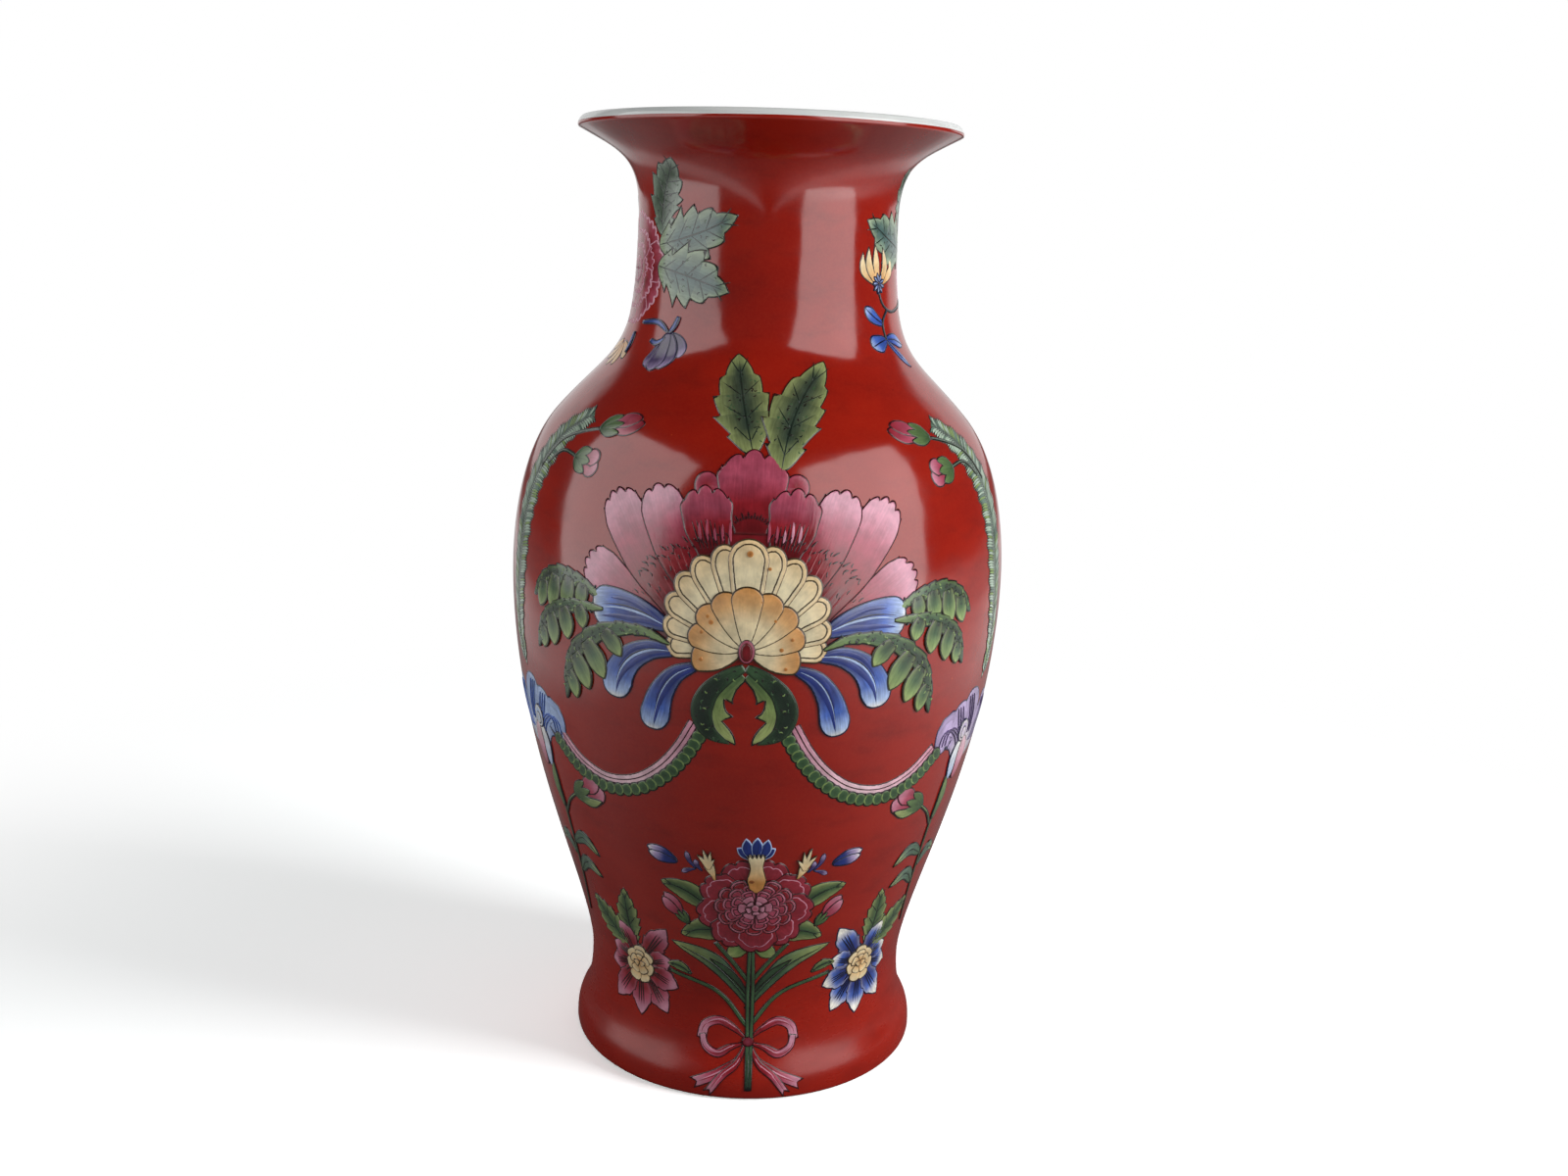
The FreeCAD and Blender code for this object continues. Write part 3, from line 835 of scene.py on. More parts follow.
def leaf(
    piece, path, width, layer=0, teeth=6, bite=0.3, mid=MOSS, light=PALE_LEAF, veins=5,
    right=None, point=0.75, marks=0,
):
    """A toothed leaf with a dark middle, pale edges, a midrib and side veins."""
    shape = toothed(petal(width, 0.4, 0.55, point), teeth, bite)
    other = toothed(petal(right or width, 0.4, 0.55, point), teeth, bite)
    paint = [(0, light), (0.25, mid), (0.85, mid), (1, light)]
    piece.strip(
        path, shape, paint, rim=light, rim_share=0.9, rim_power=1.8, layer=layer, rows=teeth * 8 + 1,
        right=other, line=0.8,
    )
    piece.stroke(
        [path[0]] + [tuple(p) for p in spline(path, np.array([0.3, 0.6, 0.93]))], 0.8, DARK_MOSS, layer + 1,
        rows=20,
    )
    points = spline(path, np.linspace(0.12, 0.8, veins))
    ahead = spline(path, np.linspace(0.12, 0.8, veins) + 0.16)
    for i, (start, forward) in enumerate(zip(points, ahead)):
        step = forward - start
        aside = np.array([step[1], -step[0]]) / (np.hypot(*step) + 1e-9)
        reach = width * 0.62 * math.sin(math.pi * (0.2 + 0.65 * i / max(1, veins - 1)))
        for turn in (-1, 1):
            bend = start + step * 0.6 + aside * reach * turn * 0.6
            piece.stroke(
                [start, bend, start + step + aside * reach * turn], 0.55, DARK_MOSS, layer + 1, rows=6,
            )
    if marks:
        scribble(piece, path, width * 0.8, marks, (INK, DARK_MOSS, MOSS), layer + 1, 0.2, 0.7)


def lobed_leaf(piece, spine, width, lobes, layer=0):
    """An acanthus leaf: a ruffled spine and pointed lobes, pale at their tips, that hang from it."""
    ruffled = toothed(petal(width, 0.5, 0.7, 0.6, 0.15), 9, 0.2)
    piece.strip(
        spine, ruffled, [(0, LEAF), (0.3, MOSS), (0.7, DARK_MOSS), (1, MOSS)], rim=LEAF, rim_share=0.7,
        rim_power=2.5, layer=layer, rows=70,
    )
    spots = spline(spine, np.array([share for share, _, _ in lobes]))
    for (_, tip, reach), root in zip(lobes, spots):
        bend = (root + np.array(tip)) / 2 + (0.6, 0.4)
        shades = [(0, DARK_MOSS), (0.4, MOSS), (0.75, LEAF), (1, PALE_LEAF)]
        piece.strip(
            [root, bend, tip], petal(reach, 0.45, 0.5, 0.8, 0.6), shades, rim=PALE_LEAF,
            rim_share=0.6, rim_power=2, layer=layer + 1, rows=22, inked=0.9,
        )
    scribble(
        piece, spine, width * 0.8, round(curve_length(spine) / 1.3), (DARK_MOSS, LEAF, INK, DARK_MOSS),
        layer + 2, 0.12,
    )


def scallops(count, rise, deep):
    """An open petal tip: a crowned end with count bumps."""

    def push(s):
        notch = 1 - np.abs(np.cos(math.pi * (count * (s + 1) / 2 + 0.5))) ** 0.5
        return rise * (1 - s * s) - deep * notch * (s * s < 0.999)

    return push


def fan_petal(
    piece, path, base, top, paint, rise=4.0, bumps=3, deep=1.2, ink=None, layer=0, rays=5, ray=None,
    rim=None, line=0.9, comb=0,
):
    """A broad petal with a scalloped tip, dark rays from its base or a comb of short strokes across it."""
    width = through([(0, base), (0.55, top * 0.92), (0.85, top), (1, top * 0.86)])
    piece.strip(
        path, width, paint, ink=ink, rim=rim, rim_share=0.5, layer=layer, rows=30,
        tip=scallops(bumps, rise, deep), line=line, cross=FINE_CROSS,
    )
    centre = spline(path, np.linspace(0, 1, 25))
    along = centre[-1] - centre[0]
    along = along / np.hypot(*along)
    aside = np.array([along[1], -along[0]])
    for i in range(rays):
        s = (i + 0.5) / rays * 2 - 1
        low = centre[2] + aside * s * base * 0.8
        high = centre[17] + aside * s * top * 0.7
        length = 0.6 + 0.3 * math.sin(5 * i + len(piece.parts))
        piece.stroke(
            [low, low + (high - low) * length * 0.5, low + (high - low) * length], 0.8,
            piece.ink if ray is None else ray, layer + 1, rows=9,
        )
    for i in range(comb):
        s = (i + 0.5) / comb * 2 - 1
        spot = centre[8 + round(3 * math.sin(2.3 * i + piece.count))]
        low = spot + aside * s * (base + top) * 0.38 - along * 2 * s * s
        high = low + along * (2.6 + 1.2 * math.sin(3.1 * i)) + aside * 0.6 * math.cos(2 * i)
        piece.stroke([low, (low + high) / 2 + aside * 0.3, high], 0.7, WINE_INK, layer + 1, rows=5)


def crest_leaves(face):
    for word, path, width, right, layer, node in (
        ("left", [(0, 84), (-5, 108), (-9, 137)], 14.5, 13, 0, "crest_leaves"),
        ("right", [(12, 77), (17, 105), (29, 134)], 14, 13.5, 2, None),
    ):
        piece = face.piece("crest_leaf_" + word, "green_enamel", MEDALLION, node=node)
        leaf(
            piece, path, width, layer=layer, right=right, veins=4, bite=0.24, teeth=5,
            mid=GREY_LEAF * 0.24, light=PALE_LEAF * 0.85, point=0.8, marks=40,
        )


def peony(face):
    heart = face.piece("peony_heart", "crimson_enamel", MEDALLION, node="peony_fan")
    arc = [
        around((0, 0), angle, 45 + 5 * abs(math.cos(math.radians(angle)))) for angle in range(165, 14, -12)
    ]
    heart.strip(arc, even(10), fade(DEEP_CRIMSON, CRIMSON * 0.7, DEEP_CRIMSON), inked=0, rows=50)
    blush = [(0, DEEP_CRIMSON), (0.4, CRIMSON), (0.68, ROSE), (0.9, PALE_ROSE), (1, PALE_ROSE)]
    deep = [(0, DEEP_CRIMSON * 0.8), (0.5, CRIMSON), (0.75, ROSE * 0.8), (1, ROSE)]
    for side in SIDES:
        pale = face.piece("peony_pale", "pink_enamel", MEDALLION, side)
        fan_petal(
            pale, [(-31, 8), (-55, 20), (-73, 32)], 9, 11, blush, 4.5, 4, 2.2, layer=0, rays=4, ray=CRIMSON,
            comb=12,
        )
        fan_petal(
            pale, [(-28, 17), (-48, 40), (-60, 60.5)], 8, 11, blush, 5, 4, 2.2, layer=1, rays=4,
            ray=CRIMSON, comb=12,
        )
        fan_petal(
            pale, [(-22, 25), (-34, 47), (-40, 65)], 7, 10.5, blush, 4.5, 3, 2.2, layer=2, rays=4,
            ray=CRIMSON, comb=9,
        )
        dark = face.piece("peony_crimson", "crimson_enamel", MEDALLION, side)
        dark.blob((-19, 70), (5.6, 6.2), fade(CRIMSON, ROSE), layer=1)
        fan_petal(dark, [(-14.5, 41), (-18, 54), (-19.3, 65)], 7, 11.5, deep, 5.2, 3, 3.0, layer=3, rays=8)
        for i in range(5):
            low = (-20.5 + 3.2 * i, 46.5)
            shade = PALE_ROSE if side == -1 and i < 3 else ROSE
            # on the right-hand petal the first three strokes are pale pink instead of rose: a painted glint
            dark.stroke(
                [low, (low[0] * 1.02 - 0.3, 50), (low[0] * 1.05, 54 + 2 * math.sin(2.1 * i))], 1.1, shade, 5,
            )
        comb = face.piece("peony_comb", "crimson_enamel", MEDALLION, side)
        for i in range(22):
            angle = 100 + 2.2 * i
            reach = 49 + 6 * min(1, max(0, (angle - 112) / 30)) + 1.5 * math.sin(3.7 * i)
            start = around((0, 0), angle, reach)
            end = around((0, 0), angle + 1.2, reach + 2.6 + 1.2 * math.sin(2.3 * i))
            comb.stroke([start, end], 0.7, WINE_INK, 5, rows=5)
    top = face.piece("peony_centre", "crimson_enamel", MEDALLION)
    fan_petal(
        top, [(0.3, 50), (0.3, 66), (0.4, 79.5)], 7, 15.4,
        [(0, DEEP_CRIMSON), (0.45, CRIMSON), (0.75, ROSE), (1, ROSE)], 7.5, 3, 3.4, layer=2, rays=0,
    )
    for i in range(13):
        angle = 50 + 6.6 * i
        start = around((0.4, 47), angle, 9.5)
        end = around((0.4, 47), angle, 12 + math.sin(3 * i))
        top.stroke([start, end], 0.8, WINE_INK, 4, rows=5)


def lotus(face):
    outer = face.piece("lotus_outer_petals", "cream_enamel", MEDALLION, node="lotus_flower")
    white_root = [(0, IVORY), (0.6, IVORY), (0.82, CREAM * 0.5 + IVORY * 0.5), (1, CREAM)]
    # how far each pair of petals leans from the top one, where their tips end, and their half-width
    petals = (
        (0, 48.5, 9.0), (14, 47, 7.0), (28.5, 45.7, 6.8), (43, 44, 6.6), (58, 41.4, 6.4), (73, 38, 6.2),
        (88, 35, 6.0),
    )
    for k, (turn, tip, width) in reversed(list(enumerate(petals))):
        for side in (-1, 1) if k else (1,):
            path = [around((0, 0), 90 + side * turn, r) for r in (12, 28, tip)]
            outer.strip(
                path, petal(width, 0.74, 0.5, 0.5, 0.35), white_root, rim=OCHRE * 0.6 + CREAM * 0.4,
                rim_share=0.8, rim_power=6, second=2.4, layer=4 + (6 - k) * 0.5, rows=36, line=1.0,
            )
    inner = face.piece("lotus_inner_petals", "cream_enamel", MEDALLION)
    tan = [(0, IVORY), (0.4, CREAM * 0.3 + IVORY * 0.7), (0.72, OCHRE * 0.6 + CREAM * 0.4), (1, OCHRE)]
    # the same, with the lean of each petal's lower half
    petals = (
        (0, 0, 28.5, 7.2), (24, 26, 28, 6.4), (46, 50, 27.5, 6.2), (70, 76, 26, 6.2), (95, 104, 23.5, 7.0),
    )
    for k, (turn, knee, tip, width) in reversed(list(enumerate(petals))):
        for side in (-1, 1) if k else (1,):
            path = [around((0, 0), 90 + side * a, r) for a, r in ((knee, 3), (knee, 14), (turn, tip))]
            inner.strip(
                path, petal(width, 0.76, 0.65, 0.5, 0.2), tan, layer=8 + (4 - k) * 0.5, rows=32, line=1.1,
            )
    for spot, size in (
        ((-15, 12.5), 1.1), ((-16.5, 15), 0.8), ((19.5, 6), 0.8), ((15, 1.5), 0.9), ((12, 14), 0.7),
        ((-19, -4), 0.9), ((-1, 19), 0.5), ((0.5, 42), 1.3), ((9, 36), 0.7), ((-19, 8), 0.8),
        ((6, 22), 0.6), ((17, -7), 0.8),
    ):
        inner.blob(spot, (size, size), fade(RUST, OCHRE), layer=10.4, inked=0.0)
    bead = face.piece("lotus_bead", "crimson_enamel", MEDALLION)
    bead.blob((0.3, 0.4), (3.7, 5.4), fade(PALE_ROSE, ROSE), layer=11, line=0.7)
    bead.blob((0.3, 0.2), (2.6, 4.2), fade(CRIMSON, DEEP_CRIMSON), ink=DEEP_CRIMSON, layer=12)


def blue_petals(face):
    shapes = (
        ("upper", [(-33, 8), (-45, 12.5), (-57, 14), (-72, 12)], 9.6, "blue_petals"),
        ("middle", [(-29, -2), (-43, -3), (-53, -9), (-58, -17), (-59.5, -27.5)], 8.0, None),
        ("lower", [(-20, -7), (-31, -13), (-37, -22), (-39.5, -31), (-41, -39.5)], 7.2, None),
    )
    for side in SIDES:
        for level, path, width, node in shapes:
            piece = face.piece("blue_petal_" + level, "blue_enamel", MEDALLION, side, node)
            paint = [(0, COBALT * 0.8), (0.5, COBALT), (0.74, BLUE), (0.92, PALE_BLUE), (1, WHITE)]
            piece.strip(
                path, petal(width, 0.8, 0.7, 0.4, 0.2), paint, rim=PALE_BLUE,
                rim_share=0.5, rim_power=5, layer=3.4, rows=34,
            )
            dense = spline(path, np.linspace(0, 1, 9))
            marks = (
                (-0.4, 8, 2.6, COBALT), (0.42, 7, 2.2, COBALT), (0, 8, 1.0, PALE_BLUE),
                (0.14, 8, 0.7, NAVY_INK),
            )
            for shift, share, thick, colour in marks:
                line = [dense[i] + (0, shift * width * min(1, i / 4)) for i in range(share)]
                piece.stroke(line, thick, colour, 4.4, rows=16)


def acanthus(face):
    for side in SIDES:
        upper = face.piece("acanthus_upper", "green_enamel", MEDALLION, side, node="acanthus_leaves")
        lobed_leaf(
            upper, [(-66, 16), (-81, 22), (-95, 22.5), (-107, 18), (-116, 9)], 5.0,
            ((0.76, (-110, 5), 4.6), (0.58, (-101, 6), 5.0), (0.4, (-91, 8), 5.0), (0.24, (-81, 11), 4.2)),
            layer=3.4,
        )
        lobed_leaf(
            upper, [(-66, 12), (-82, 11), (-95, 7), (-106, -1), (-112, -15)], 4.8,
            (
                (0.8, (-106, -14), 4.0), (0.62, (-97.5, -11), 5.0), (0.44, (-87.5, -6), 5.0),
                (0.26, (-77.5, 1), 4.2),
            ),
            layer=4.8,
        )
        middle = face.piece("acanthus_middle", "green_enamel", MEDALLION, side)
        spine = [(-33, 1), (-44, 5), (-55, 5), (-66, 2), (-75, -3), (-82, -9), (-87, -19), (-89.5, -35)]
        lobed_leaf(
            middle, spine, 5.0,
            (
                (0.82, (-82, -33), 4.0), (0.7, (-74, -27), 5.2), (0.57, (-65, -20), 5.4),
                (0.42, (-56, -8), 4.4),
            ),
            layer=4.8,
        )


def curled_leaves(face):
    for side in SIDES:
        piece = face.piece("curled_leaf", "green_enamel", MEDALLION, side, node="curled_leaves")
        spine = [(-0.5, -7), (-9, -12.5), (-16, -20), (-18.5, -29), (-15.5, -37), (-6, -43)]
        inside = [(-1.5, -10), (-6, -14.5), (-11.5, -21), (-13.5, -29), (-11, -36), (-3.5, -43.5)]
        piece.strip(
            inside, toothed(petal(9, 0.55, 0.6, 0.9, 0.3), 3, 0.62),
            [(0, MOSS), (0.4, LEAF * 0.8), (1, PALE_LEAF)], rim=PALE_LEAF, rim_share=0.6, rows=70,
            right=petal(3, 0.5, 0.6, 0.9, 0.4), layer=1,
        )
        piece.strip(
            spine, petal(5.0, 0.5, 0.6, 0.9, 0.3),
            [(0, MOSS), (0.3, DARK_MOSS), (0.8, DARK_MOSS), (1, MOSS)], rim=MOSS, rim_share=0.7, layer=2,
            rows=40, inked=0.5,
        )
        scribble(piece, spine, 3.6, 26, (MOSS, INK, LEAF, INK), 3)


def swags(face):
    path = [(-22, -34), (-28.5, -46), (-37, -57), (-50, -66.5), (-65.5, -69.5), (-80, -65.5), (-97, -54)]
    for side in SIDES:
        ribbon = face.piece("swag_ribbon", "pink_enamel", MEDALLION, side, node="ribbon_swags")
        ribbon.strip(path, even(2.6), fade(PALE_ROSE, WHITE_ROSE, PALE_ROSE), rows=60)
        ribbon.stroke(path, 0.55, WINE_INK, 1, rows=60, taper=False)
        beads = face.piece("swag_beads", "green_enamel", MEDALLION, side, node="bead_garlands")
        spots = spline(path, np.linspace(0.01, 0.99, 24))
        along = np.gradient(spots, axis=0)
        along /= np.linalg.norm(along, axis=1)[:, None]
        for i, (spot, way) in enumerate(zip(spots, along)):
            below = np.array([-way[1], way[0]])
            beads.blob(
                spot + below * 5.2, (3.5, 3.7), [(0, MOSS * 0.7), (0.6, MOSS), (1, LEAF)], layer=0.12 * i,
                line=1.0,
            )
            hook = [
                spot + below * 3.0 - way * 1.4, spot + below * 5.4 - way * 2.2,
                spot + below * 7.6 - way * 1.2,
            ]
            beads.stroke(hook, 0.8, LEAF, 0.12 * i + 0.8, rows=7)


def bud(piece, base, tip, width, colours, layer=0):
    """A closed bud: a back petal and a front petal wrapped over it."""
    base, tip = np.array(base, float), np.array(tip, float)
    aside = np.array([tip[1] - base[1], base[0] - tip[0]]) / np.hypot(*(tip - base))
    middle = (base + tip) / 2
    piece.strip(
        [base, middle + aside * width * 0.3, tip + aside * width * 0.2],
        petal(width * 0.8, 0.5, 0.5, 0.6, 0.2), colours, layer=layer, rows=14,
    )
    piece.strip(
        [base, middle - aside * width * 0.35, tip * 0.9 + base * 0.1 - aside * width * 0.3],
        petal(width * 0.7, 0.5, 0.5, 0.6, 0.2), colours, layer=layer + 1, rows=14,
    )


def calyx(piece, base, tip, width, layer=0):
    """Small green sepals at the foot of a bud."""
    base, tip = np.array(base, float), np.array(tip, float)
    along = tip - base
    aside = np.array([along[1], -along[0]]) / np.hypot(*along)
    for turn in (-0.8, 0.8, 0):
        end = base + along * (1 - 0.15 * abs(turn)) + aside * turn * width
        piece.strip(
            [base, (base + end) / 2 + aside * turn * width * 0.2, end],
            petal(width * 0.42, 0.45, 0.6, 0.7, 0.2), fade(MOSS * 0.7, MOSS * 0.5 + LEAF * 0.5),
            layer=layer, rows=12, line=0.7,
        )


def rosette(piece, centre, count, reach, width, paint, ink=None, layer=0, root=0.0, squash=1.0, line=0.6):
    """A ring of petals round a centre."""
    for i in range(count):
        angle = 90 + 360 / count * i
        path = [
            around(centre, angle, root, squash), around(centre, angle, (root + reach) / 2, squash),
            around(centre, angle, reach, squash),
        ]
        piece.strip(
            path, petal(width, 0.7, 0.6, 0.35, 0.2), paint, ink=ink, layer=layer + 0.5 * (i % 2),
            rows=18, line=line,
        )


def bouquet_flower(face):
    middle = (0.8, -1)
    outer = face.piece("bouquet_flower_outer", "crimson_enamel", BOUQUET, node="bouquet_flower")
    fill = fade(DEEP_CRIMSON, CRIMSON, CRIMSON * 0.7 + ROSE * 0.3)
    for i, angle in enumerate((72, 112, 30, 152, 196, 352, 310, 236, 273)):
        path = [around(middle, angle, r) for r in (5, 14, 23.5)]
        inside = [around(middle, angle, r) for r in (5, 13, 21)]
        fan_petal(outer, path, 6, 10.6, fill, 5.0, 2, 2.2, layer=0.45 * i, rays=0, line=1.1)
        fan_petal(
            outer, inside, 4.5, 8.6, fill, 4.6, 2, 1.2, layer=0.45 * i + 0.3, rays=0, ink=PALE_ROSE,
            line=1.5,
        )
    rings = face.piece("bouquet_flower_rings", "pink_enamel", BOUQUET)
    fills = (CRIMSON, CRIMSON * 0.4 + ROSE * 0.6, ROSE, ROSE * 0.4 + PALE_ROSE * 0.6, PALE_ROSE)
    for ring, (count, reach, width) in enumerate(
        ((12, 19, 4.4), (10, 15.4, 4.0), (8, 11.8, 3.7), (6, 8.2, 3.2), (5, 4.8, 2.2))
    ):
        for i in range(count):
            angle = 90 + 360 / count * i + 11 * ring
            path = [around(middle, angle, r, 0.92) for r in (reach * 0.35, reach * 0.7, reach)]
            pale = fills[ring] * 0.4 + PALE_ROSE * 0.6
            rings.strip(
                path, petal(width, 0.72, 0.6, 0.45, 0.4),
                [(0, WINE_INK), (0.5, fills[ring]), (0.8, fills[ring]), (0.9, pale), (1, pale)], rim=pale,
                rim_share=1.0, rim_power=6, layer=4.6 + ring * 0.9 + 0.4 * (i % 2), rows=20, line=0.8,
                second=1.6 if ring < 3 else 0.0,
            )
    rings.blob(middle, (2, 2.2), fade(ROSE, PALE_ROSE), layer=9.4, line=0.6)
    crown = face.piece("bouquet_blue_crown", "blue_enamel", BOUQUET)
    for tip in ((-8.6, 33), (8.8, 33), (-4.6, 38.4), (5.4, 38), (0.5, 39)):
        crown.strip(
            [(0.2, 26), (tip[0] * 0.7, 31), tip], petal(2.7, 0.55, 0.6, 0.9, 0.3),
            fade(COBALT * 0.7, COBALT), ink=PALE_BLUE, layer=1 + 0.3 * len(crown.parts), rows=20, line=0.7,
        )
    bulb = face.piece("bouquet_cream_bulb", "cream_enamel", BOUQUET)
    bulb.strip(
        [(0.8, 8.5), (0.8, 18), (0.3, 28.5)],
        through([(0, 1.0), (0.12, 3.4), (0.35, 4.3), (0.7, 3.0), (1, 4.2)]),
        [(0, OCHRE), (0.3, OCHRE), (0.6, CREAM), (1, IVORY)], layer=10, rows=24, line=0.6,
        tip=lambda s: 1.6 * np.abs(np.sin(7 * s)), cross=FINE_CROSS,
    )
    bulb.blob((-1.4, 15), (1.2, 1.0), fade(RUST * 0.6, RUST), layer=11, inked=0)
    for side, root, tips in (
        (1, (-18, 14), ((-26.5, 27.5), (-24, 30.5), (-20.5, 30), (-18.5, 26))),
        (-1, (-19.5, 15.5), ((-28, 28), (-25.5, 32.5), (-22, 30.5), (-19, 26))),
    ):
        flip = np.array([side, 1])
        middle = np.array([root[0] - 3, 22])
        bulb.strip(
            [np.array(root) * flip, (root[0] * side - 1.2 * side, 18), middle * flip],
            through([(0, 0.8), (1, 2.4)]), fade(OCHRE, CREAM, IVORY), layer=5, rows=12, line=0.5,
        )
        for tip in tips:
            bulb.strip(
                [middle * flip - (0, 2), (middle + tip) / 2 * flip, np.array(tip) * flip],
                petal(1.1, 0.4, 0.6, 0.9, 0.6), fade(CREAM, IVORY), layer=6, rows=12, line=0.4,
            )


def bouquet_buds(face):
    for side in SIDES:
        blue = face.piece("bouquet_blue_bud", "blue_enamel", BOUQUET, side)
        bud(
            blue, (-36, 21.5), (-52, 27), 4.2,
            [(0, COBALT * 0.6), (0.45, COBALT), (0.75, PALE_PURPLE), (1, WHITE)],
        )
        for start, end in (((-27, 19), (-32, 28.5)), ((-27, 19), (-34, 16)), ((-24, 18), (-27.5, 24.5))):
            blue.strip(
                [start, ((start[0] + end[0]) / 2 - 1, (start[1] + end[1]) / 2), end],
                petal(1.5, 0.7, 0.8, 0.6, 0.2), [(0, COBALT), (0.6, PURPLE), (1, PALE_PURPLE)], rows=14,
                line=0.6,
            )
        pink = face.piece("bouquet_pink_bud", "pink_enamel", BOUQUET, side)
        bud(pink, (-33, -11), (-43.5, 1.5), 4.4, fade(CRIMSON, ROSE, PALE_ROSE))


def bouquet_leaves(face):
    for side in SIDES:
        upper = face.piece("bouquet_leaf_upper", "grey_green_enamel", BOUQUET, side, node="bouquet_leaves")
        leaf(upper, [(-18, -5), (-31, 5), (-44.5, 9)], 6.4, teeth=3, veins=2, bite=0.05, mid=MOSS * 0.8)
        lower = face.piece("bouquet_leaf_lower", "grey_green_enamel", BOUQUET, side)
        leaf(lower, [(-8, -20), (-21, -16.5), (-34, -22)], 7.2, teeth=3, veins=2, bite=0.05, mid=MOSS * 0.8)
        calyx(lower, (-29.5, -15), (-36, -7), 3.0, layer=2)
        lower.strip(
            [(0, -24), (-5, -27), (-11, -32)], petal(4.4, 0.6, 0.6, 0.7, 0.4),
            [(0, MOSS), (0.6, LEAF), (1, PALE_LEAF)], layer=1, rows=16, line=0.7,
        )
        long = face.piece("bouquet_long_leaf", "grey_green_enamel", BOUQUET, side)
        long.strip(
            [(1.5, -63), (-7, -49), (-18, -36), (-39, -27)], petal(5.0, 0.55, 0.8, 0.85, 0.2),
            fade(MOSS, MOSS, PALE_LEAF), rim=GREY_LEAF, rows=30,
        )
        long.strip(
            [(1, -58), (-8, -44), (-20, -34)], petal(2.0, 0.55, 0.8, 0.85, 0.2),
            fade(DARK_MOSS, MOSS), layer=1, rows=20,
        )
        long.stroke([(1, -62), (-8, -48), (-18, -37.5), (-34, -29)], 0.6, DARK_MOSS, 3, rows=20)
        for start, middle, end in (
            ((0.5, -49), (-8, -36), (-17, -24)), ((-0.5, -72), (-15, -54), (-40, -45.5)),
        ):
            long.strip(
                [start, middle, end], even(1.1), fade(MOSS, MOSS), layer=2, rim=LEAF, rows=20, line=0.6,
            )
    stem = face.piece("bouquet_stem", "green_enamel", BOUQUET)
    for shift in (-0.9, 0.9):
        stem.strip(
            [(shift * 0.8, -26), (0.4 + shift * 1.3, -54), (0.6 + shift, -78), (0.5 + shift * 0.8, -103)],
            even(1.0), [(0, MOSS), (0.7, MOSS), (1, DARK_MOSS)], layer=3, rows=30, rim=GREY_LEAF, line=0.6,
        )


def side_flower(face, side, centre, petals, slot, node=None):
    """A pointed-petal flower with a ring of dark streaks and a nested cream centre."""
    word = SIDES[side]
    piece = face.piece("side_flower_" + word, slot, BOUQUET, node=node)
    light, mid, dark = petals
    rays = (
        (60, 31), (22, 20), (-20, 24), (-54, 29), (-88, 29), (-124, 30), (-164, 22), (160, 20), (122, 27),
    )
    for i, (angle, reach) in enumerate(rays):
        angle = angle if side == 1 else 180 - angle
        path = [around(centre, angle, r) for r in (4, reach * 0.6, reach)]
        shape = toothed(petal(7.6, 0.5, 0.6, 1.0, 0.4), 4, 0.16)
        piece.strip(
            path, shape, [(0, dark), (0.4, dark), (0.62, mid), (0.85, light), (1, light)],
            rim=light, rim_share=0.5, rim_power=5, layer=0.5 * (i % 3), rows=30,
        )
        for turn in (-7, 0, 7):
            piece.stroke(
                [around(centre, angle + turn, 7), around(centre, angle + turn * 0.6, reach * 0.78)], 0.8,
                piece.ink, 2,
            )
    for i in range(20):
        piece.stroke(
            [around(centre, 18 * i, 6.5), around(centre, 18 * i + 4, 11.5 + 1.5 * math.sin(2.7 * i))], 0.9,
            piece.ink, 3, rows=5,
        )
    core = face.piece("side_flower_core_" + word, "cream_enamel", BOUQUET)
    for count, reach, width, layer in ((7, 8.8, 4.0, 3.5), (5, 6.0, 3.2, 4.5), (3, 3.4, 2.3, 5.5)):
        rosette(
            core, (centre[0], centre[1] + (8 - reach) * 0.3), count, reach, width,
            [(0, OCHRE), (0.6, CREAM), (1, IVORY)], layer=layer, squash=1.3, line=0.8,
        )
    foliage = face.piece("side_flower_leaves", "green_enamel", BOUQUET, side)
    x, y = -abs(centre[0]), centre[1]
    leaf(
        foliage, [(x - 3, y + 10), (x - 7, y + 26), (x - 9, y + 45)], 8.6, teeth=6, veins=4, bite=0.26,
        point=0.9, mid=MOSS * 0.8,
    )
    leaf(
        foliage, [(x - 6, y + 8), (x - 19, y + 18), (x - 33, y + 31)], 9.4, teeth=6, veins=4, bite=0.26,
        point=0.9, layer=1,
    )
    leaf(
        foliage, [(x + 16, y + 6), (x + 22, y + 6), (x + 29, y + 2)], 3.2, teeth=4, veins=2, layer=1,
        bite=0.1,
    )


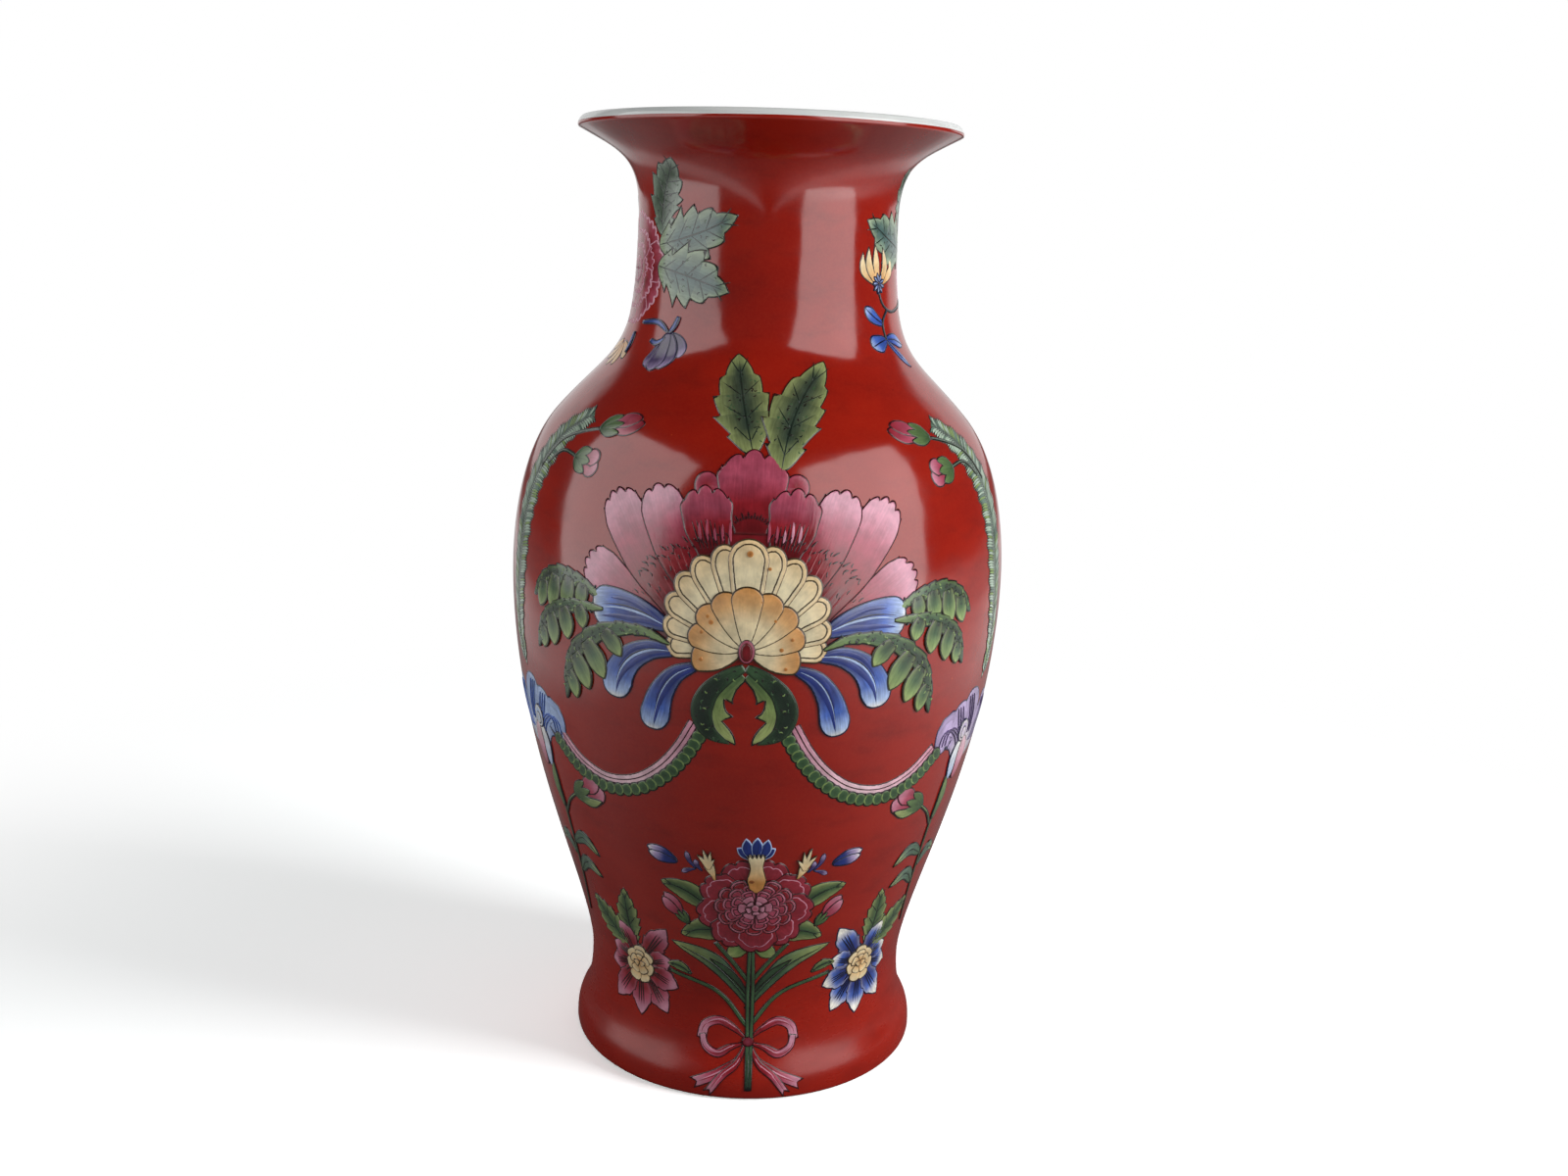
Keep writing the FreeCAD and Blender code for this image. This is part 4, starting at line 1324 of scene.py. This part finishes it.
def bow(face):
    loop = [(0, CRIMSON), (0.35, CRIMSON), (0.6, ROSE), (0.85, PALE_ROSE), (1, PALE_ROSE)]
    tail = [(0, CRIMSON), (0.5, CRIMSON), (0.75, ROSE), (1, PALE_ROSE)]

    def cut(s):
        """The notched end of a ribbon."""
        return 2.6 * (np.abs(s) - 0.6)

    for side in SIDES:
        piece = face.piece("bow", "pink_enamel", BOUQUET, side, node="bow")
        for path, (start, middle, end), layer, paint, tip in (
            (
                [(0, -79), (-7, -73), (-14, -69.5), (-20.5, -72.5), (-22.5, -80)], (0.8, 2.4, 2.6), 0, loop,
                None,
            ),
            ([(0, -80), (-8, -82.5), (-15, -86), (-20.5, -83), (-22, -77)], (0.8, 2.2, 1.8), 1, loop, None),
            ([(-1, -81), (-5, -89), (-12, -94), (-26, -101)], (1.0, 2.4, 2.8), 1, tail, cut),
            ([(-1, -81), (-6, -91), (-12, -96), (-19, -105)], (1.0, 2.0, 2.0), 2, tail, cut),
        ):
            piece.strip(
                path, through([(0, start), (0.5, middle), (1, end)]), paint, layer=layer,
                rows=30, line=0.8, tip=tip,
            )
            dense = spline(path, np.linspace(0.25, 0.9, 8))
            # a pale pink stroke along one side of each ribbon and a crimson one along the other: painted
            # highlight and painted shade
            piece.stroke(dense + (0.5, 0.6), 0.6, PALE_ROSE, layer + 1, rows=16)
            piece.stroke(dense - (0.6, 0.5), 0.5, CRIMSON, layer + 1, rows=16)
        piece.blob((0, -79.5), (3.0, 2.6), fade(ROSE, CRIMSON), layer=4, line=0.7)


def plume(face):
    """A long feather of grey-green barbs down each side."""
    path = [
        (-10, 28), (-24, 16), (-33, 4), (-40, -9), (-44, -24), (-46, -44), (-48, -65), (-48, -84),
        (-42, -99),
    ]
    for side, turn in ((1, -45), (-1, 46)):
        piece = face.piece("plume", "grey_green_enamel", (turn, SHOULDER), side, node="feather_plumes")
        piece.strip(path, petal(8.6, 0.4, 0.5, 0.6, 0.2), fade(GREY_LEAF, MIST_LEAF), rows=60, line=0.6)
        spots = spline(path, np.linspace(0.02, 0.98, BARBS))
        along = np.gradient(spots, axis=0)
        along /= np.linalg.norm(along, axis=1)[:, None]
        tones = (MIST_LEAF, LEAF, GREY_LEAF, MIST_LEAF)
        for i, (spot, way) in enumerate(zip(spots, along)):
            aside = np.array([way[1], -way[0]])
            reach = (11.0 + math.sin(5.3 * i)) * math.sin(math.pi * (0.12 + 0.8 * i / BARBS)) ** 0.6
            for turn in (-1, 1):
                end = spot - way * 3.4 + aside * turn * reach
                shade = tones[round(40 * math.sin(7.7 * i + turn)) % len(tones)]
                piece.strip(
                    [spot, (spot + end) / 2 - way * 0.6, end], petal(0.85, 0.5, 0.5, 0.7, 0.3),
                    [(0, GREY_LEAF), (0.3, shade), (1, shade)], layer=1, rows=6, line=0.4, cross=BARB_CROSS,
                )


def shoulder_buds(face):
    for side, turn in ((1, -45), (-1, 48)):
        pink = face.piece("shoulder_buds", "pink_enamel", (turn, SHOULDER), side, node="shoulder_buds")
        blush = [(0, PALE_ROSE), (0.4, ROSE), (1, CRIMSON)]
        bud(pink, (6, 23), (23, 28), 6.0, blush, layer=1)
        bud(pink, (-1, 5.5), (9.5, 4.5), 6.4, [(0, CRIMSON), (0.4, ROSE), (1, PALE_ROSE)], layer=1)
        green = face.piece("shoulder_bud_leaves", "grey_green_enamel", (turn, SHOULDER), side)
        for path in ([(-36, -2), (-24, 12), (-10, 18.5), (1, 21.5)], [(-30, 0), (-20, 7.5), (-5, 6)]):
            green.strip(path, even(0.9), fade(MOSS, GREY_LEAF), layer=2, rows=20)
        calyx(green, (0, 21.3), (13, 25.5), 6.0, layer=3)
        calyx(green, (-8, 6), (3.5, 5), 6.5, layer=3)


def iris(face):
    """A hooded iris at each end of the swags, with a bud, leaves and a stem that runs down."""
    for side, turn, (dark, mid, light) in (
        (1, -55, (BLUE, PALE_BLUE, WHITE)), (-1, 54, (PURPLE, PALE_PURPLE, WHITE)),
    ):
        flower = face.piece("iris", "blue_enamel", (turn, IRIS_HEIGHT), side, node="iris_flowers")
        for path, width in (
            ([(-17, -16), (-30, -6), (-38, 8), (-36, 14)], 10.5),
            ([(-17, -14), (-20, 4), (-14, 20)], 11.0),
            ([(-17, -12), (-8, 4), (-3, 16)], 10.5),
            ([(-14, -22), (-5, 0), (4, 4), (8, -8)], 10.0),
        ):
            flower.strip(
                path, petal(width, 0.6, 0.6, 0.5, 0.25), [(0, light), (0.5, mid), (1, mid)], rim=dark,
                rim_share=0.55, rim_power=2.5, layer=len(flower.parts) % 4, rows=24,
            )
            dense = spline(path, np.linspace(0.3, 0.92, 6))
            for shift in (-2.5, 0, 2.5):
                flower.stroke([point + (shift, 0) for point in dense], 0.7, dark, 4, rows=12)
        tongue = face.piece("iris_tongue", "pink_enamel", (turn, IRIS_HEIGHT), side)
        tongue.strip(
            [(-8, -25), (-9, -12), (-12, -3)], petal(4.5, 0.5, 0.5, 0.6, 0.2),
            fade(PALE_BLUE, WHITE), ink=NAVY_INK, layer=4, rows=18,
        )
        tongue.strip(
            [(-13, -26), (-16, -14), (-15, -3)], petal(5.0, 0.5, 0.5, 0.6, 0.2),
            [(0, ROSE), (0.4, PALE_ROSE), (1, WHITE_ROSE)], layer=5, rows=18,
        )
        tongue.blob((-12, 0), (5, 6), fade(WHITE, mid, light), ink=NAVY_INK, layer=5)
        tongue.blob((-12, -1), (2.6, 3.4), [(0, mid), (1, WHITE)], ink=NAVY_INK, layer=6)
        rose = face.piece("iris_bud", "pink_enamel", (turn, IRIS_HEIGHT), side)
        bud(rose, (18, -30), (33, -25), 7.0, fade(CRIMSON, ROSE, PALE_ROSE), layer=1)
        green = face.piece("iris_stem", "green_enamel", (turn, IRIS_HEIGHT), side)
        green.strip(
            [(-4, -46), (-7, -34), (-6, -22)], petal(3.4, 0.5, 0.6, 0.8, 0.3), fade(MOSS, LEAF),
            layer=4, rows=14,
        )
        green.strip(
            [(-6, -23), (-4, -46), (-5, -68), (-8, -88), (-14, -110)], lambda t: 1.1 - 0.4 * t,
            fade(MOSS, LEAF), layer=3, rows=40,
        )
        green.strip([(-3, -48), (3, -40), (12, -33)], even(0.9), fade(MOSS, LEAF), layer=3, rows=14)
        calyx(green, (10, -34), (24, -28), 6.0, layer=3)
        green.strip(
            [(12, -34), (22, -35), (31, -32)], petal(2.8, 0.5, 0.6, 0.8, 0.3),
            fade(MOSS, PALE_LEAF), layer=3, rows=12,
        )
        for base, knee, tip in (
            ((-5, -66), (7, -60), (17, -67)), ((-7, -84), (3, -75), (14, -80)),
            ((-6, -74), (-15, -66), (-23, -70)),
        ):
            green.strip(
                [base, knee, tip], petal(4.0, 0.45, 0.6, 0.8, 0.2),
                [(0, MOSS), (0.6, GREY_LEAF), (1, PALE_LEAF)], layer=2, rows=16,
            )
            green.stroke([base, knee, tip], 0.5, DARK_MOSS, 4)


def neck_spray(face):
    """A full peony on the side of the neck, with leaves, a bell, a tulip and small flowers round it."""
    middle = (0, -3)
    petals = face.piece("neck_peony", "crimson_enamel", NECK, node="neck_spray")
    for ring, (count, root, reach, width) in enumerate(((9, 9, 25.5, 10), (8, 6, 18.5, 8), (6, 2, 12, 6))):
        for i in range(count):
            angle = 90 + 360 / count * i + 17 * ring
            path = [around(middle, angle, r) for r in (root, (root + reach) / 2, reach - 2)]
            fan_petal(
                petals, path, width * 0.5, width, [(0, DEEP_CRIMSON), (0.6, CRIMSON), (1, ROSE)], 3.0, 4,
                1.8, ink=PALE_ROSE, layer=ring * 0.9 + 0.45 * (i % 2), rays=6, rim=ROSE, ray=WINE_INK,
                line=1.2,
            )
    rosette(petals, middle, 6, 6, 2.6, fade(DEEP_CRIMSON, ROSE), PALE_ROSE, layer=3.5, root=0.8)
    for side in SIDES:
        green = face.piece("neck_leaves", "grey_green_enamel", NECK, side)
        edge = PALE_LEAF * 0.4 + MIST_LEAF * 0.6
        pale = {"mid": SEA_LEAF, "light": edge, "teeth": 5, "bite": 0.36, "point": 1.1, "marks": 20}
        leaf(
            green, [(-24, 12), (-25, 28), (-38, 47)], 13, right=12, teeth=5, bite=0.3, point=1.0,
            mid=MOSS * 0.5, light=MIST_LEAF * 0.8, marks=24,
        )
        leaf(green, [(-22, 8), (-44, 13), (-65, 22)], 14.5, layer=1, **pale)
        if side == -1:
            leaf(green, [(-22, -1), (-42, -5), (-63.5, -11.5)], 15.5, layer=2, **pale)
    bell = face.piece("neck_bell", "blue_enamel", NECK)
    for path, width, layer in (
        ([(38.5, -31), (45, -34), (52, -42)], 3.4, 0), ([(38.5, -31), (43, -38), (49, -44)], 3.4, 1),
        ([(38, -31), (38, -40), (38, -49)], 5.0, 2), ([(38.5, -31), (44, -40), (47, -49)], 5.0, 3),
        ([(38.5, -31), (40, -40), (43, -50.5)], 4.6, 4),
    ):
        bell.strip(
            path, petal(width, 0.7, 0.6, 0.6, 0.3),
            [(0, PURPLE), (0.3, PURPLE * 0.5), (0.7, PURPLE), (1, PALE_PURPLE)], layer=layer,
            rows=22, line=0.8, rim=PALE_PURPLE, rim_share=0.35, rim_power=5,
        )
    for path in (
        [(17, -27), (30, -26.5), (38.5, -31)], [(41, -23), (40, -28), (38.5, -31)],
        [(29, -35), (34, -36), (38, -33)], [(12, -32), (13, -37), (14, -43)],
    ):
        bell.strip(path, petal(1.4, 0.5, 0.3, 0.5, 0.5), fade(COBALT, BLUE), layer=5, rows=14)
    cream = face.piece("neck_small_flowers", "cream_enamel", NECK)
    for angle in (200, 230, 262, 290, 320):
        start, end = around((3, -36), angle, 2), around((3, -36), angle, 16)
        cream.strip(
            [start, around((3, -36), angle + 6, 9), end], petal(2.8, 0.6, 0.6, 0.6, 0.3),
            fade(OCHRE, CREAM), ink=INK, rows=14,
        )
    for shift, top in ((-8.4, 18), (-4.6, 20.5), (0, 21.5), (6.4, 20.5), (12.4, 17.5)):
        root = (-56.6 + shift * 0.25, -6)
        cream.strip(
            [root, (-57.4 + shift * 1.15, 1), (-58.6 + shift, top - 10)], petal(2.7, 0.45, 0.5, 1.0, 0.4),
            [(0, OCHRE), (0.45, CREAM), (1, IVORY)], ink=INK, layer=1 + (abs(shift) < 7), rows=22, line=0.8,
        )
    blue = face.piece("neck_blue_leaves", "blue_enamel", NECK)
    for angle in range(20, 380, 40):
        blue.strip(
            [around((-56.4, -6), angle, 0.5), around((-56.4, -6), angle, 5)],
            petal(1.1, 0.5, 0.5, 0.8, 0.4), fade(COBALT, PALE_BLUE), layer=4, rows=8,
        )
    for path, width in (
        ([(-57, -24.5), (-64, -20.5), (-68.5, -16.5)], 3.8),
        ([(-59, -31.5), (-66, -33), (-72.5, -35)], 4.4), ([(-59, -31.5), (-51, -32), (-44, -35)], 3.6),
        ([(-59, -31.5), (-55, -38), (-51.5, -46.5)], 2.8),
    ):
        blue.strip(
            path, petal(width, 0.6, 0.6, 0.6, 0.25), [(0, COBALT), (0.6, BLUE), (1, PALE_BLUE)], layer=1,
            rows=18,
        )
        blue.stroke(path, 0.6, NAVY_INK, 3)
    for path in (
        [(-56.6, -9), (-53.4, -16), (-50, -18), (-34, -17.5), (-20, -14)],
        [(-50.5, -18), (-56.5, -23), (-59, -31.5)],
    ):
        blue.strip(path, even(0.7), fade(COBALT, NAVY_INK), ink=INK, layer=2, rows=24)


def decorate(face):
    crest_leaves(face)
    peony(face)
    lotus(face)
    blue_petals(face)
    acanthus(face)
    curled_leaves(face)
    swags(face)
    bouquet_flower(face)
    bouquet_buds(face)
    bouquet_leaves(face)
    side_flower(face, 1, (-57, -48), (PALE_ROSE, ROSE, CRIMSON), "pink_enamel", "bouquet_side_flowers")
    side_flower(face, -1, (58.5, -46), (WHITE, BLUE, COBALT), "blue_enamel")
    bow(face)
    plume(face)
    shoulder_buds(face)
    iris(face)
    neck_spray(face)


# ---------------------------------------------------------------- building the scene

CORAL = coral_material()
WHITE_GLAZE = white_glaze_material()
BARE = biscuit_material("bare_porcelain", "e6dfd2")
SLIP = biscuit_material("slip", "d8d0c0")
# how far brush streaks lighten and darken each enamel, and its least roughness
FINISHES = (
    ("green_enamel", 0.22, 0.16),
    ("grey_green_enamel", 0.22, 0.16),
    ("pink_enamel", 0.1, 0.14),
    ("crimson_enamel", 0.14, 0.12),
    ("blue_enamel", 0.25, 0.14),
    ("cream_enamel", 0.06, 0.16),
)
ENAMELS = {slot: enamel_material(slot, streak, gloss) for slot, streak, gloss in FINISHES}

turned("coral_ground", ground_outline(), CORAL, ["coral_enamel_ground"])
turned("lip_glaze", lip_outline, WHITE_GLAZE, ["lip_white_glaze"])
turned("interior_glaze", interior_outline(), WHITE_GLAZE, ["interior_white_glaze"])
turned("foot_edge", foot_outline(), BARE, ["foot_ring"], closed=True)

for name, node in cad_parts.items():
    node.data.materials.clear()
    if "seam" in name:
        node.data.materials.append(SLIP)
    elif "glaze" in name:
        node.data.materials.append(WHITE_GLAZE)
    else:
        node.data.materials.append(BARE)

for face in (Face("front", 0), Face("back", 180)):
    decorate(face)
    for piece in face.pieces:
        piece.build()

studio_floor()
studio_world()
studio_camera()
vase = bpy.data.collections.new("vase")
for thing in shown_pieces():
    vase.objects.link(thing)
paper = bpy.data.collections.new("paper")
paper.objects.link(bpy.data.objects["floor"])
softbox("window_right", 54, 20, 1.1, (1.05, 1.25), 8.8, vase)
softbox("window_left", -70, 20, 1.1, (1.2, 1.25), 7.6, vase)
softbox("key", 73.5, 24, 3.0, (1.0, 1.0), 50, glossy=False)
softbox("paper_light", 20, 80, 2.0, (2.0, 2.0), 18.4, paper, glossy=False, casts=False)
